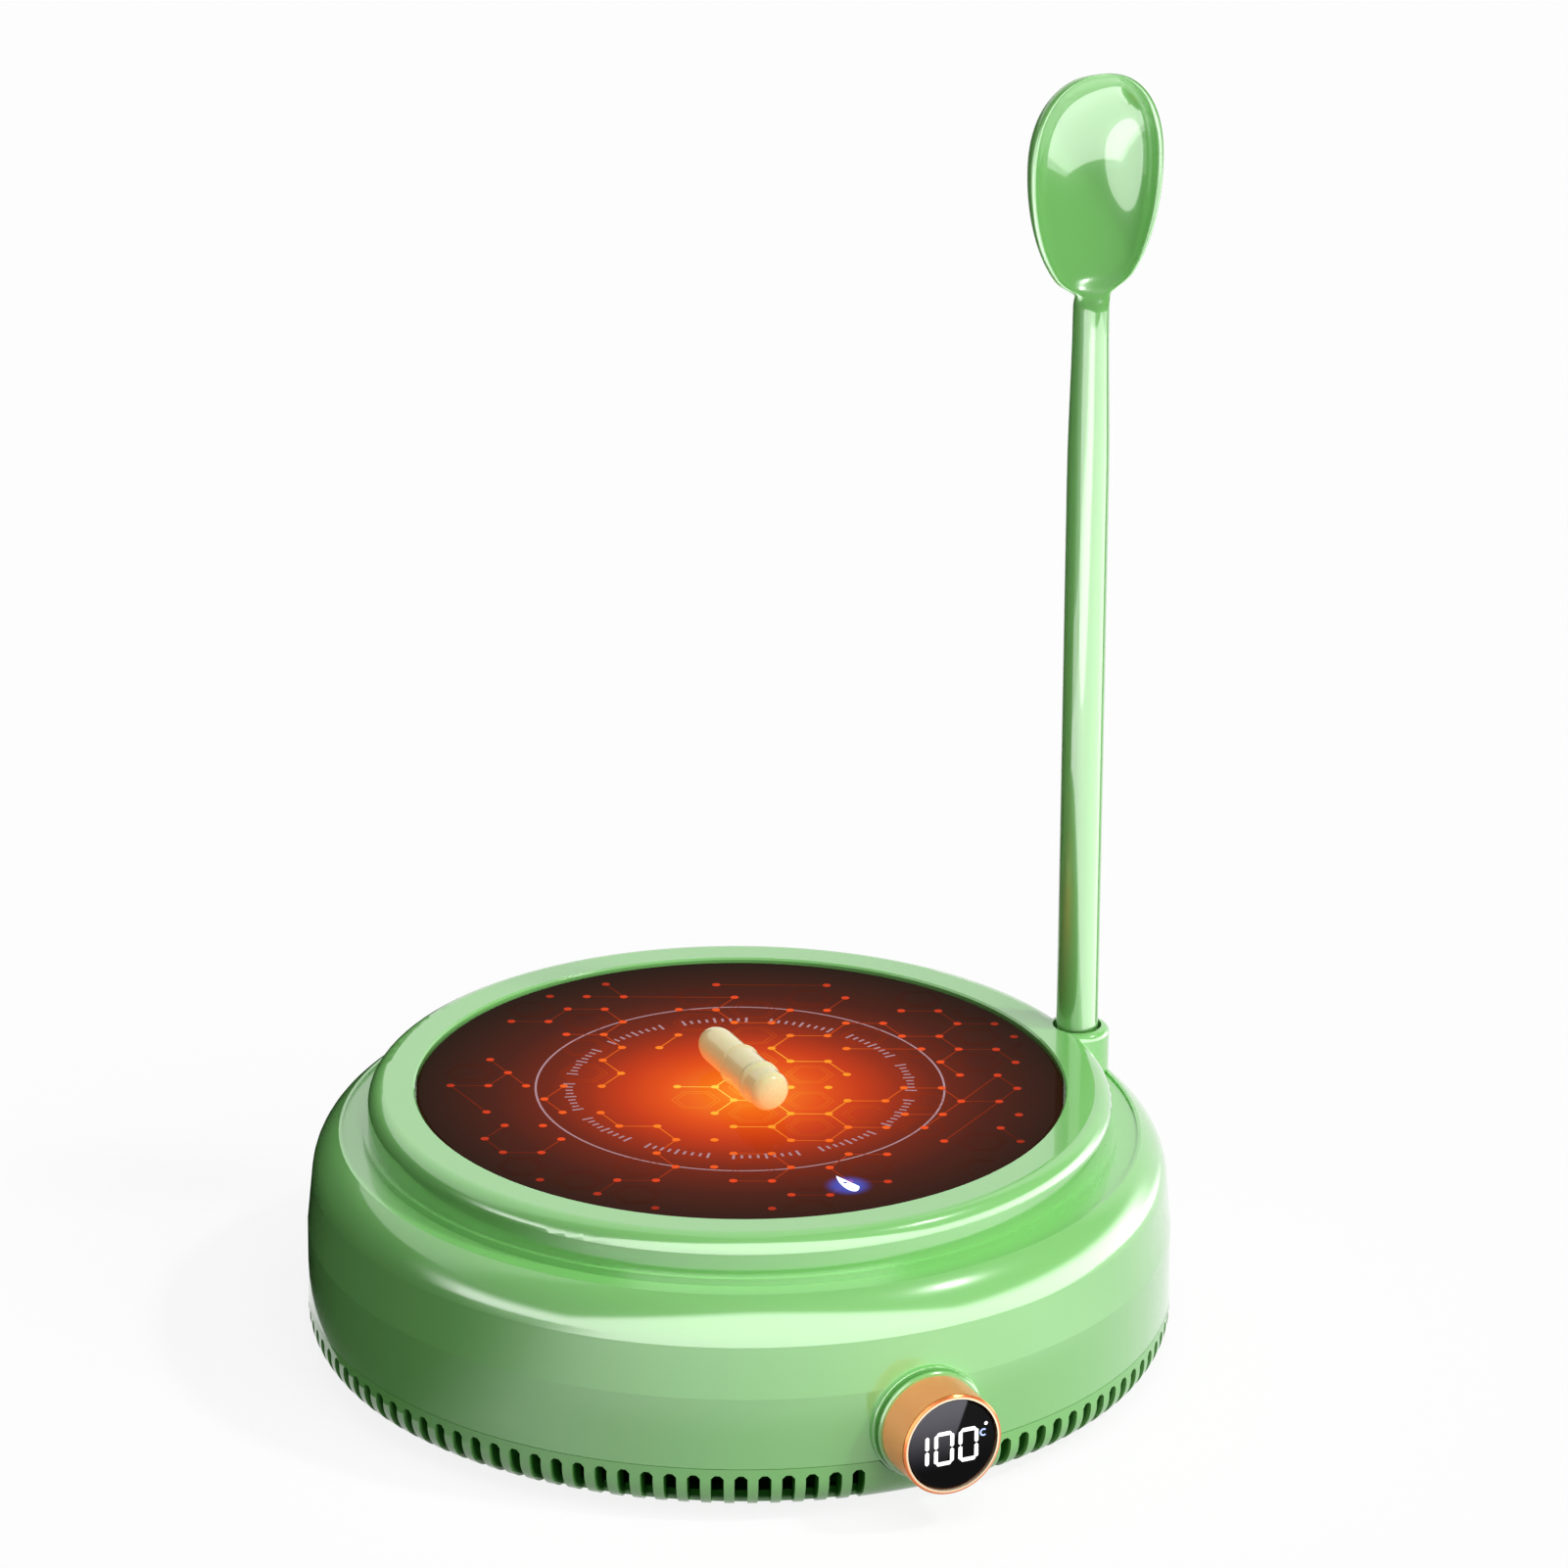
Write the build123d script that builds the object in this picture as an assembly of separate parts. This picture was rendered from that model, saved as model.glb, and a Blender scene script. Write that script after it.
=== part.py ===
from build123d import *
import math
import os

# Electric mug warmer with a built-in magnetic stirrer.
# Millimetres. The origin is the middle of the footprint, on the surface that the feet stand on.
# +Z is up, the knob points along -Y and the spoon stands at +X.

# ---- Outer shell -------------------------------------------------------------------------------
BODY_RADIUS = 70.0          # upright lower wall
UNDERSIDE_Z = 1.6           # flat underside above the table
RIM_ROUND = 5.5             # rounding between underside and wall
SEAM_Z = 9.4                # parting line between lower pan and housing
SEAM_GAP = 0.1              # shadow line at the parting line
CREASE_Z = 21.5             # where the upper wall starts to lean in
UPPER_DRAFT = 5.5           # degrees that the upper wall leans in
SHOULDER_Z = 30.0           # where the shoulder's round starts
SHOULDER_ROUND = 9.5        # radius of the shoulder
LIP_Z = 37.1                # top of the lip outside the groove
LIP_WIDTH = 0.5
GROOVE_DEPTH = 0.4          # floor of the groove below the lip
SHELL_WALL = 2.2

# ---- Raised ring and glass ---------------------------------------------------------------------
RING_TOP_Z = 44.5
RING_INSET = 9.9            # the ring's wall, in from the body's wall
RING_WIDTH = 7.6            # from the ring's wall to the recess of the glass
RING_ROUND = 2.8            # outer rounding of the ring
RING_STEP_WIDTH = 0.8       # small ledge at the foot of the ring
RING_STEP_RISE = 1.2        # its height above the groove's floor
RING_CHAMFER = 0.3          # inner edge, beside the glass
GLASS_THICK = 3.5
GLASS_RECESS = 0.6          # glass below the ring's top
GLASS_GAP = 0.3             # round the edge of the glass
GLASS_CHAMFER = 0.4
GASKET_THICK = 0.5
SEAT_WIDTH = 3.0            # ledge that carries the glass
SEAT_THICK = 1.6

# ---- Lower pan ---------------------------------------------------------------------------------
FLOOR_THICK = 2.0
SLOT_COUNT = 118
SLOT_WIDTH = 2.05
SLOT_TOP_Z = 8.3
SLOT_NOTCH = 1.0            # how far the slots run into the floor's edge behind the wall
SLOT_CORNER = 0.6           # bevel at the head of a slot
SLOT_MARGIN = 0.6           # least rib beside the knob's boss
TONGUE_THICK = 1.5          # lip of the pan inside the housing
TONGUE_RISE = 2.8
SEAM_CLEARANCE = 0.2
CASE_SCREW_COUNT = 4
POST_INSET = 14.0           # axes of the case screws, in from the body's wall
POST_RADIUS = 3.4
POST_FOOT_Z = 8.0           # where housing posts meet pan posts
SCREW_RADIUS = 1.45
SCREW_CLEARANCE = 0.25
SCREW_HEAD_RADIUS = 2.7
SCREW_HEAD_THICK = 1.8
SCREW_LENGTH = 12.0
SCREW_SINK = 0.6            # head below the underside
HEAD_CLEARANCE = 0.3
FOOT_INSET = 22.0           # ring-shaped rubber foot, in from the body's wall
FOOT_WIDTH = 6.0
FOOT_SOCKET = 1.2           # depth of the foot's groove in the pan
FOOT_EDGE = 0.5

# ---- Spoon and its socket ----------------------------------------------------------------------
SOCKET_INSET = 9.2          # axis of the spoon, in from the body's wall
SOCKET_RADIUS = 4.0
SOCKET_BOSS_RADIUS = 5.3    # outside, above the groove
SOCKET_BOSS_ROUND = 1.2
SOCKET_BOSS_DROP = 0.05     # boss top below the ring's top
SOCKET_TUBE_WALL = 1.6
SOCKET_FLOOR_Z = 15.0
SOCKET_FLOOR_THICK = 1.6
LINER_THICK = 1.5
LINER_CLEARANCE = 0.1
SPOON_STAND_OFF = 0.3       # spoon above the liner
SPOON_TIP_Z = 207.4
HANDLE_RADIUS = 3.45
NECK_RADIUS = 2.95
BOWL_LENGTH = 36.6
BOWL_WIDTH = 23.6
BOWL_DEPTH = 7.4
BOWL_WALL = 1.4
BOWL_WIDEST = 15.4          # from the tip down to the widest place
BOWL_RIM_Y = -1.0           # plane of the bowl's rim, in front of the handle's axis
NECK_RISE = 2.4             # how far the handle runs up into the bowl's lower end
NECK_ROUND = 2.0            # rounding of the handle's upper end

# ---- Knob --------------------------------------------------------------------------------------
KNOB_Z = 15.0
KNOB_BOSS_RADIUS = 9.5
KNOB_BOSS_RISE = 0.5        # face of the boss, out from the body's wall
KNOB_BOSS_DEPTH = 4.5       # back of the boss, in from the body's wall
KNOB_BOSS_ROUND = 0.25
KNOB_RAMP_LIFT = 4.6        # rise of the ramp that joins the boss to the leaning wall
KNOB_RAMP_DEPTH = 1.4       # root of the ramp, in from the body's wall
KNOB_RECESS_RADIUS = 6.6
KNOB_RECESS_DEPTH = 2.0
KNOB_TRAVEL = 0.4           # push travel
KNOB_END_GAP = 0.3          # boss to collar with the knob pushed in
COLLAR_RADIUS = 9.05
COLLAR_THICK = 0.8
SLEEVE_RADIUS = 8.44
SLEEVE_LENGTH = 7.0
SLEEVE_WALL = 0.69
SLEEVE_BACK = 1.2
SLEEVE_EDGE = 0.25
TRIM_THICK = 0.6
HUB_RADIUS = 3.6
HUB_REACH = 1.0             # hub behind the encoder
RUNNING_FIT = 0.05          # radial clearance of the turning parts
CARRIER_GAP = 0.3           # carrier to sleeve, all round
CARRIER_FLOOR = 1.0
CARRIER_WALL = 0.8
STEM_RADIUS = 2.6
STEM_BORE = 1.4
STEM_REACH = 4.5            # stem behind the hub
CLIP_RADIUS = 4.2
CLIP_THICK = 0.8
CLIP_GROOVE = 0.4
CLIP_PLAY = 0.3
CLIP_MOUTH = 3.5            # width of its opening
DISPLAY_THICK = 1.6
LENS_THICK = 1.4
LENS_RECESS = 0.2
LENS_CHAMFER = 0.2
ENCODER_SIDE = 15.0
ENCODER_THICK = 5.5
ENCODER_CORNER = 2.0
BUSHING_RADIUS = 4.5
BUSHING_CLEARANCE = 0.15
BUSHING_SET_BACK = 0.5      # end of the bushing behind the face of the boss
NUT_FLATS = 10.0
NUT_THICK = 1.6

# ---- Boards behind the knob --------------------------------------------------------------------
BOARD_THICK = 1.6
CONTROL_BOARD_WIDTH = 30.0
CONTROL_BOARD_HEIGHT = 21.0
GUIDE_DEPTH = 1.4           # how far the board's edge goes into its guides
GUIDE_SIZE = 4.0
GUIDE_HEIGHT = 12.6
SWITCH_SIDE = 6.0
SWITCH_THICK = 3.5
PLUNGER_RADIUS = 1.7
PLUNGER_LENGTH = 0.9
PLUNGER_END_GAP = 0.1       # stem to plunger with the knob pushed in

# ---- Heater stack, from the glass down ---------------------------------------------------------
SPREADER_GAP = 1.2          # between the spreader and the touch key's board
SPREADER_THICK = 1.5
HEATER_INSET = 1.0          # edge of the heater inside the edge of the spreader
HEATER_THICK = 0.8
INSULATION_THICK = 2.0
BRACKET_THICK = 1.0
BRACKET_HOLE_RADIUS = 9.0
BRACKET_EAR_WIDTH = 9.0
BRACKET_SCREW_INSET = 2.5   # screw axes, out from the inner edge of the glass seat
BRACKET_SCREW_COUNT = 3
BRACKET_EAR_REACH = 6.0     # screw axes, out from the round of the bracket
BRACKET_SCREW_LENGTH = 4.0
BRACKET_BOSS_RADIUS = 2.6
SENSOR_X = 20.0
SENSOR_Y = 16.0
SENSOR_RADIUS = 1.6
SENSOR_LENGTH = 6.0
SENSOR_CLEARANCE = 0.3
FUSE_X = -25.0
FUSE_RADIUS = 2.0
FUSE_LENGTH = 12.0
FUSE_GAP = 0.1
TOUCH_INSET = 11.5          # middle of the touch key, in from the edge of the glass
TOUCH_PAD_RADIUS = 4.0
TOUCH_BOARD_LENGTH = 14.0
TOUCH_BOARD_WIDTH = 9.0

# ---- Stirrer -----------------------------------------------------------------------------------
MOTOR_RADIUS = 13.8
MOTOR_HEIGHT = 15.0
MOTOR_NOSE_RADIUS = 3.0
MOTOR_NOSE_HEIGHT = 1.5
MOUNT_WALL = 1.6            # rubber round the motor
MOUNT_FLOOR = 1.8
MOUNT_HEIGHT = 9.0
CRADLE_WALL = 1.8
CRADLE_HEIGHT = 8.0
SHAFT_RADIUS = 1.0
SHAFT_INSERT = 13.0         # length inside the motor
SHAFT_REACH = 9.0           # length above the motor's nose
ROTOR_RADIUS = 16.0
ROTOR_THICK = 6.0
ROTOR_HUB_RADIUS = 3.5
ROTOR_HUB_HEIGHT = 2.0
ROTOR_EDGE = 1.0
MAGNET_RADIUS = 5.0
MAGNET_THICK = 4.5
MAGNET_OFFSET = 9.5
BAR_LENGTH = 25.5
BAR_RADIUS = 3.2
BAR_RING_RADIUS = 3.6       # two raised rings that the bar turns on
BAR_RING_WIDTH = 1.0
BAR_RING_SLOPE = 0.3
BAR_RING_OFFSET = 4.4       # middle of a ring, from the middle of the bar
BAR_STAND_OFF = 0.3         # stirring bar above the glass
BAR_MAGNET_RADIUS = 1.9
BAR_MAGNET_LENGTH = 20.0

# ---- Main board --------------------------------------------------------------------------------
MAIN_BOARD_LENGTH = 60.0
MAIN_BOARD_WIDTH = 28.0
MAIN_BOARD_GAP = 4.8        # behind the motor's cradle
MAIN_BOARD_LIFT = 4.0       # above the pan's floor
STANDOFF_RADIUS = 2.8
STANDOFF_INSET = 3.5
BOARD_SCREW_RADIUS = 1.1
BOARD_SCREW_HEAD = 2.2
BOARD_SCREW_HEAD_THICK = 1.3
BOARD_SCREW_LENGTH = 4.6
RELAY_LENGTH = 19.0
RELAY_WIDTH = 15.5
RELAY_HEIGHT = 12.0
RELAY_INSET = 16.0          # its middle, in from the end of the board
RELAY_EDGE = 1.0
CAPACITOR_RADIUS = 5.0
CAPACITOR_HEIGHT = 14.0
CAPACITOR_PITCH = 14.0      # from the header's middle to the capacitor's
CAPACITOR_EDGE = 0.8
HEADER_LENGTH = 12.0
HEADER_WIDTH = 5.0
HEADER_HEIGHT = 7.0
HEADER_INSET = 10.0         # its middle, in from the end of the board
HEADER_WALL = 0.9
HEADER_FLOOR = 2.0

# ---- Cord inlet --------------------------------------------------------------------------------
INLET_Z = 19.0
INLET_BORE = 3.4
INLET_NECK = 4.9
INLET_FLANGE = 6.6
INLET_FLANGE_THICK = 1.2
INLET_PAD_RADIUS = 8.2
INLET_PAD_RISE = 0.4        # flat seat of the bush, out from the body's wall
INLET_PAD_THICK = 3.4
INLET_SEAT_RADIUS = 6.7     # thickening inside the wall, for the bush's inner flange
INLET_CHAMFER = 0.4

# ---- Heights and radii that follow from the sizes above ----------------------------------------
FLOOR_TOP_Z = UNDERSIDE_Z + FLOOR_THICK
INNER_RADIUS = BODY_RADIUS - SHELL_WALL
TONGUE_RADIUS = INNER_RADIUS - SEAM_CLEARANCE
PAN_INNER_RADIUS = TONGUE_RADIUS - TONGUE_THICK
SLOT_INNER_RADIUS = PAN_INNER_RADIUS - SLOT_NOTCH
POST_RING_RADIUS = BODY_RADIUS - POST_INSET
FOOT_OUTER_RADIUS = BODY_RADIUS - FOOT_INSET
FOOT_INNER_RADIUS = FOOT_OUTER_RADIUS - FOOT_WIDTH
SOCKET_X = BODY_RADIUS - SOCKET_INSET
GROOVE_Z = LIP_Z - GROOVE_DEPTH
GLASS_TOP_Z = RING_TOP_Z - GLASS_RECESS
GLASS_BOTTOM_Z = GLASS_TOP_Z - GLASS_THICK
SEAT_Z = GLASS_BOTTOM_Z - GASKET_THICK
SEAT_BOTTOM_Z = SEAT_Z - SEAT_THICK
RING_WALL_RADIUS = BODY_RADIUS - RING_INSET
RECESS_RADIUS = RING_WALL_RADIUS - RING_WIDTH
GLASS_RADIUS = RECESS_RADIUS - GLASS_GAP
SEAT_RADIUS = RECESS_RADIUS - SEAT_WIDTH
BRACKET_SCREW_RADIUS = SEAT_RADIUS + BRACKET_SCREW_INSET
BRACKET_RADIUS = BRACKET_SCREW_RADIUS - BRACKET_EAR_REACH
TOUCH_Y = TOUCH_INSET - GLASS_RADIUS
SPREADER_RADIUS = -TOUCH_Y - TOUCH_BOARD_WIDTH / 2 - SPREADER_GAP
HEATER_RADIUS = SPREADER_RADIUS - HEATER_INSET
SPREADER_Z = GLASS_BOTTOM_Z - SPREADER_THICK
HEATER_Z = SPREADER_Z - HEATER_THICK
BRACKET_TOP_Z = HEATER_Z - INSULATION_THICK
BRACKET_Z = BRACKET_TOP_Z - BRACKET_THICK
MOUNT_RADIUS = MOTOR_RADIUS + MOUNT_WALL
CRADLE_RADIUS = MOUNT_RADIUS + CRADLE_WALL
MOTOR_Z = FLOOR_TOP_Z + MOUNT_FLOOR
MOTOR_TOP_Z = MOTOR_Z + MOTOR_HEIGHT
NOSE_TOP_Z = MOTOR_TOP_Z + MOTOR_NOSE_HEIGHT
SHAFT_TOP_Z = NOSE_TOP_Z + SHAFT_REACH
ROTOR_Z = SHAFT_TOP_Z - ROTOR_THICK + ROTOR_EDGE
BAR_Z = GLASS_TOP_Z + BAR_RING_RADIUS + BAR_STAND_OFF
KNOB_BOSS_FACE = BODY_RADIUS + KNOB_BOSS_RISE       # distances from the middle of the body
KNOB_BOSS_BACK = BODY_RADIUS - KNOB_BOSS_DEPTH
BUSHING_END = KNOB_BOSS_FACE - BUSHING_SET_BACK
HUB_END = KNOB_BOSS_BACK - ENCODER_THICK - HUB_REACH
STEM_END = HUB_END - STEM_REACH
PLUNGER_END = STEM_END - KNOB_TRAVEL - PLUNGER_END_GAP
CONTROL_BOARD_FACE = PLUNGER_END - PLUNGER_LENGTH - SWITCH_THICK
COLLAR_BACK = KNOB_BOSS_FACE + KNOB_TRAVEL + KNOB_END_GAP
SLEEVE_START = COLLAR_BACK + COLLAR_THICK
SLEEVE_FRONT = SLEEVE_START + SLEEVE_LENGTH
KNOB_FRONT = SLEEVE_FRONT + TRIM_THICK
SLEEVE_BORE = SLEEVE_RADIUS - SLEEVE_WALL
CARRIER_RADIUS = SLEEVE_BORE - CARRIER_GAP
CARRIER_START = SLEEVE_START + SLEEVE_BACK + CARRIER_GAP
LENS_FRONT = KNOB_FRONT - LENS_RECESS
LENS_BACK = LENS_FRONT - LENS_THICK
INLET_PAD_FACE = BODY_RADIUS + INLET_PAD_RISE
INLET_PAD_BACK = INLET_PAD_FACE - INLET_PAD_THICK
BOARD_TOP_Z = FLOOR_TOP_Z + MAIN_BOARD_LIFT + BOARD_THICK
MAIN_BOARD_Y = CRADLE_RADIUS + MAIN_BOARD_GAP + MAIN_BOARD_WIDTH / 2
RELAY_X = RELAY_INSET - MAIN_BOARD_LENGTH / 2
HEADER_X = MAIN_BOARD_LENGTH / 2 - HEADER_INSET
CAPACITOR_X = HEADER_X - CAPACITOR_PITCH
SPOON_FOOT_Z = SOCKET_FLOOR_Z + LINER_THICK + SPOON_STAND_OFF
BOWL_BOTTOM_Z = SPOON_TIP_Z - BOWL_LENGTH

CUT_OVER = 1.0              # how far a cutter runs past the face it opens
ON_FLOOR = (Align.CENTER, Align.CENTER, Align.MIN)
KNOB_AXIS = Plane(origin=(0, 0, KNOB_Z), x_dir=(1, 0, 0), z_dir=(0, -1, 0))
INLET_AXIS = Plane(origin=(0, 0, INLET_Z), x_dir=(-1, 0, 0), z_dir=(0, 1, 0))


# ---- Helpers -----------------------------------------------------------------------------------
def disc(radius, bottom, top, x=0.0, y=0.0):
    """Upright cylinder between two heights."""
    return Pos(x, y, bottom) * Cylinder(radius, top - bottom, align=ON_FLOOR)


def tube(outer, inner, bottom, top, x=0.0, y=0.0):
    """Upright tube between two heights."""
    return disc(outer, bottom, top, x, y) - disc(inner, bottom, top, x, y)


def block(width, depth, bottom, top, x=0.0, y=0.0):
    """Upright block centred on x and y."""
    return Pos(x, y, bottom) * Box(width, depth, top - bottom, align=ON_FLOOR)


def spindle(radius, start, end, axis=KNOB_AXIS):
    """Cylinder along a level axis, between two distances from the middle of the body."""
    return axis.offset(start) * Cylinder(radius, end - start, align=ON_FLOOR)


def collar(outer, inner, start, end, axis=KNOB_AXIS):
    """Tube along a level axis."""
    return spindle(outer, start, end, axis) - spindle(inner, start, end, axis)


def turned(outline):
    """Solid of revolution about Z from a closed outline of (radius, height)."""
    return revolve(Plane.XZ * make_face(outline), axis=Axis.Z)


def polar_points(radius, count, first=0.0):
    """Points evenly spaced on a circle, as (x, y)."""
    angles = [math.radians(first + 360.0 * i / count) for i in range(count)]
    return [(radius * math.cos(a), radius * math.sin(a)) for a in angles]


def case_screw_points():
    return polar_points(POST_RING_RADIUS, CASE_SCREW_COUNT, 180.0 / CASE_SCREW_COUNT)


def bracket_screw_points():
    return polar_points(BRACKET_SCREW_RADIUS, BRACKET_SCREW_COUNT, 90.0)


def board_screw_points():
    half_x = MAIN_BOARD_LENGTH / 2 - STANDOFF_INSET
    half_y = MAIN_BOARD_WIDTH / 2 - STANDOFF_INSET
    return [(x, MAIN_BOARD_Y + y) for x in (-half_x, half_x) for y in (-half_y, half_y)]


def screw(head_radius, head_thick, shank_radius, length, head_top, x, y):
    """Pan-head screw that points up; head_top is the face under which the head sits."""
    head = disc(head_radius, head_top - head_thick, head_top, x, y)
    shank = disc(shank_radius, head_top, head_top + length, x, y)
    return head + shank


# ---- Housing -----------------------------------------------------------------------------------
def shoulder_arc(inset):
    """Start, middle and end of the shoulder's arc, moved in from the outer face by inset."""
    draft = math.radians(UPPER_DRAFT)
    start_radius = BODY_RADIUS - (SHOULDER_Z - CREASE_Z) * math.tan(draft)
    centre_r = start_radius - SHOULDER_ROUND * math.cos(draft)
    centre_z = SHOULDER_Z - SHOULDER_ROUND * math.sin(draft)
    top_z = LIP_Z if inset == 0 else GROOVE_Z - SHELL_WALL
    radius = SHOULDER_ROUND - inset
    end = math.asin((top_z - centre_z) / radius)
    angles = (draft, (draft + end) / 2, end)
    return [(centre_r + radius * math.cos(a), centre_z + radius * math.sin(a)) for a in angles]


def housing_outline():
    outer = shoulder_arc(0)
    inner = shoulder_arc(SHELL_WALL)
    lip_in = outer[2][0] - LIP_WIDTH
    step_radius = RING_WALL_RADIUS + RING_STEP_WIDTH
    step_z = GROOVE_Z + RING_STEP_RISE
    round_z = RING_TOP_Z - RING_ROUND
    flat_radius = RING_WALL_RADIUS - RING_ROUND
    diagonal = RING_ROUND * math.sqrt(0.5)
    ring_inside = RING_WALL_RADIUS - SHELL_WALL
    ring_roof = RING_TOP_Z - SHELL_WALL
    roof_z = GROOVE_Z - SHELL_WALL
    bottom = SEAM_Z + SEAM_GAP
    rise = Polyline((INNER_RADIUS, bottom), (BODY_RADIUS, bottom), (BODY_RADIUS, CREASE_Z), outer[0])
    shoulder = ThreePointArc(*outer)
    groove = Polyline(
        outer[2], (lip_in, LIP_Z), (lip_in, GROOVE_Z), (step_radius, GROOVE_Z),
        (step_radius, step_z), (RING_WALL_RADIUS, step_z), (RING_WALL_RADIUS, round_z),
    )
    rounding = ThreePointArc(
        (RING_WALL_RADIUS, round_z), (flat_radius + diagonal, round_z + diagonal), (flat_radius, RING_TOP_Z)
    )
    seat = Polyline(
        (flat_radius, RING_TOP_Z), (RECESS_RADIUS + RING_CHAMFER, RING_TOP_Z),
        (RECESS_RADIUS, RING_TOP_Z - RING_CHAMFER), (RECESS_RADIUS, SEAT_Z), (SEAT_RADIUS, SEAT_Z),
        (SEAT_RADIUS, SEAT_BOTTOM_Z), (RECESS_RADIUS + SHELL_WALL, SEAT_BOTTOM_Z),
        (RECESS_RADIUS + SHELL_WALL, ring_roof), (ring_inside - SHELL_WALL / 2, ring_roof),
        (ring_inside, ring_roof - SHELL_WALL / 2), (ring_inside, roof_z), inner[2],
    )
    inside = ThreePointArc(inner[2], inner[1], inner[0])
    fall = Polyline(inner[0], (INNER_RADIUS, CREASE_Z), (INNER_RADIUS, bottom))
    return rise + shoulder + groove + rounding + seat + inside + fall


def knob_ramp():
    """Oblique cylinder that runs from the edge of the knob's boss up and back into the leaning wall."""
    start = KNOB_BOSS_FACE - KNOB_BOSS_ROUND
    depth = start - BODY_RADIUS + KNOB_RAMP_DEPTH
    slant = Vector(0, depth, KNOB_RAMP_LIFT)
    return extrude(KNOB_AXIS.offset(start) * Circle(KNOB_BOSS_RADIUS), slant.length, dir=slant.normalized())


def make_housing():
    shell = turned(housing_outline())
    tube_top = GROOVE_Z - SHELL_WALL / 2
    tube_radius = SOCKET_RADIUS + SOCKET_TUBE_WALL
    tube_bottom = SOCKET_FLOOR_Z - SOCKET_FLOOR_THICK
    boss = disc(SOCKET_BOSS_RADIUS, tube_top, RING_TOP_Z - SOCKET_BOSS_DROP, SOCKET_X)
    boss = fillet(boss.edges().sort_by(Axis.Z)[-1], SOCKET_BOSS_ROUND)
    shell += boss
    shell += disc(tube_radius, tube_bottom, tube_top, SOCKET_X)
    knob_boss = spindle(KNOB_BOSS_RADIUS, KNOB_BOSS_BACK, KNOB_BOSS_FACE)
    shell += fillet(knob_boss.edges().sort_by(Axis.Y)[0], KNOB_BOSS_ROUND)
    shell += knob_ramp()
    shell += spindle(INLET_PAD_RADIUS, INNER_RADIUS + SHELL_WALL / 2, INLET_PAD_FACE, INLET_AXIS)
    shell += spindle(INLET_SEAT_RADIUS, INLET_PAD_BACK, INLET_PAD_FACE, INLET_AXIS)
    for x, y in case_screw_points():
        shell += disc(POST_RADIUS, POST_FOOT_Z, SEAT_BOTTOM_Z, x, y)
    for x, y in bracket_screw_points():
        shell += disc(BRACKET_BOSS_RADIUS, BRACKET_TOP_Z, SEAT_BOTTOM_Z, x, y)
    shell -= disc(SOCKET_RADIUS, SOCKET_FLOOR_Z, RING_TOP_Z + CUT_OVER, SOCKET_X)
    recess_floor = KNOB_BOSS_FACE - KNOB_RECESS_DEPTH
    shell -= spindle(KNOB_RECESS_RADIUS, recess_floor, KNOB_BOSS_FACE + CUT_OVER)
    shell -= spindle(BUSHING_RADIUS + BUSHING_CLEARANCE, KNOB_BOSS_BACK - CUT_OVER, KNOB_BOSS_FACE)
    shell -= spindle(INLET_NECK, INLET_PAD_BACK - CUT_OVER, INLET_PAD_FACE + CUT_OVER, INLET_AXIS)
    screw_top = UNDERSIDE_Z + SCREW_SINK + SCREW_HEAD_THICK + SCREW_LENGTH
    for x, y in case_screw_points():
        shell -= disc(SCREW_RADIUS, POST_FOOT_Z - CUT_OVER, screw_top, x, y)
    bracket_screw_top = BRACKET_Z + BRACKET_SCREW_LENGTH
    for x, y in bracket_screw_points():
        shell -= disc(SCREW_RADIUS, BRACKET_TOP_Z - CUT_OVER, bracket_screw_top, x, y)
    return shell


# ---- Lower pan ---------------------------------------------------------------------------------
def base_pan_outline():
    flat_radius = BODY_RADIUS - RIM_ROUND
    round_z = UNDERSIDE_Z + RIM_ROUND
    diagonal = RIM_ROUND * math.sqrt(0.5)
    tongue_top = SEAM_Z + TONGUE_RISE
    under = Polyline((0, FLOOR_TOP_Z), (0, UNDERSIDE_Z), (flat_radius, UNDERSIDE_Z))
    rounding = ThreePointArc(
        (flat_radius, UNDERSIDE_Z), (flat_radius + diagonal, round_z - diagonal), (BODY_RADIUS, round_z)
    )
    rim = Polyline(
        (BODY_RADIUS, round_z), (BODY_RADIUS, SEAM_Z), (TONGUE_RADIUS, SEAM_Z), (TONGUE_RADIUS, tongue_top),
        (PAN_INNER_RADIUS, tongue_top), (PAN_INNER_RADIUS, FLOOR_TOP_Z), (0, FLOOR_TOP_Z),
    )
    return under + rounding + rim


def slot_cutter():
    """One vent slot with a bevelled head, cut outwards from the floor's edge through the wall."""
    half = SLOT_WIDTH / 2
    shoulder = SLOT_TOP_Z - SLOT_CORNER
    outline = Polyline(
        (-half, 0), (half, 0), (half, shoulder), (half - SLOT_CORNER, SLOT_TOP_Z),
        (SLOT_CORNER - half, SLOT_TOP_Z), (-half, shoulder), close=True,
    )
    across = Plane(origin=(SLOT_INNER_RADIUS, 0, 0), x_dir=(0, 1, 0), z_dir=(1, 0, 0))
    return extrude(across * make_face(outline), BODY_RADIUS + SHELL_WALL - SLOT_INNER_RADIUS)


def slot_angles():
    """Angles of the vent slots about Z, without those that the knob's boss would cut."""
    angles = [360.0 * (i + 0.5) / SLOT_COUNT for i in range(SLOT_COUNT)]
    boss_half = math.sqrt(KNOB_BOSS_RADIUS ** 2 - (KNOB_Z - SLOT_TOP_Z) ** 2)
    half_gap = math.degrees(math.asin((boss_half + SLOT_WIDTH / 2 + SLOT_MARGIN) / BODY_RADIUS))
    return [angle for angle in angles if abs(angle - 270.0) > half_gap]


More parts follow.
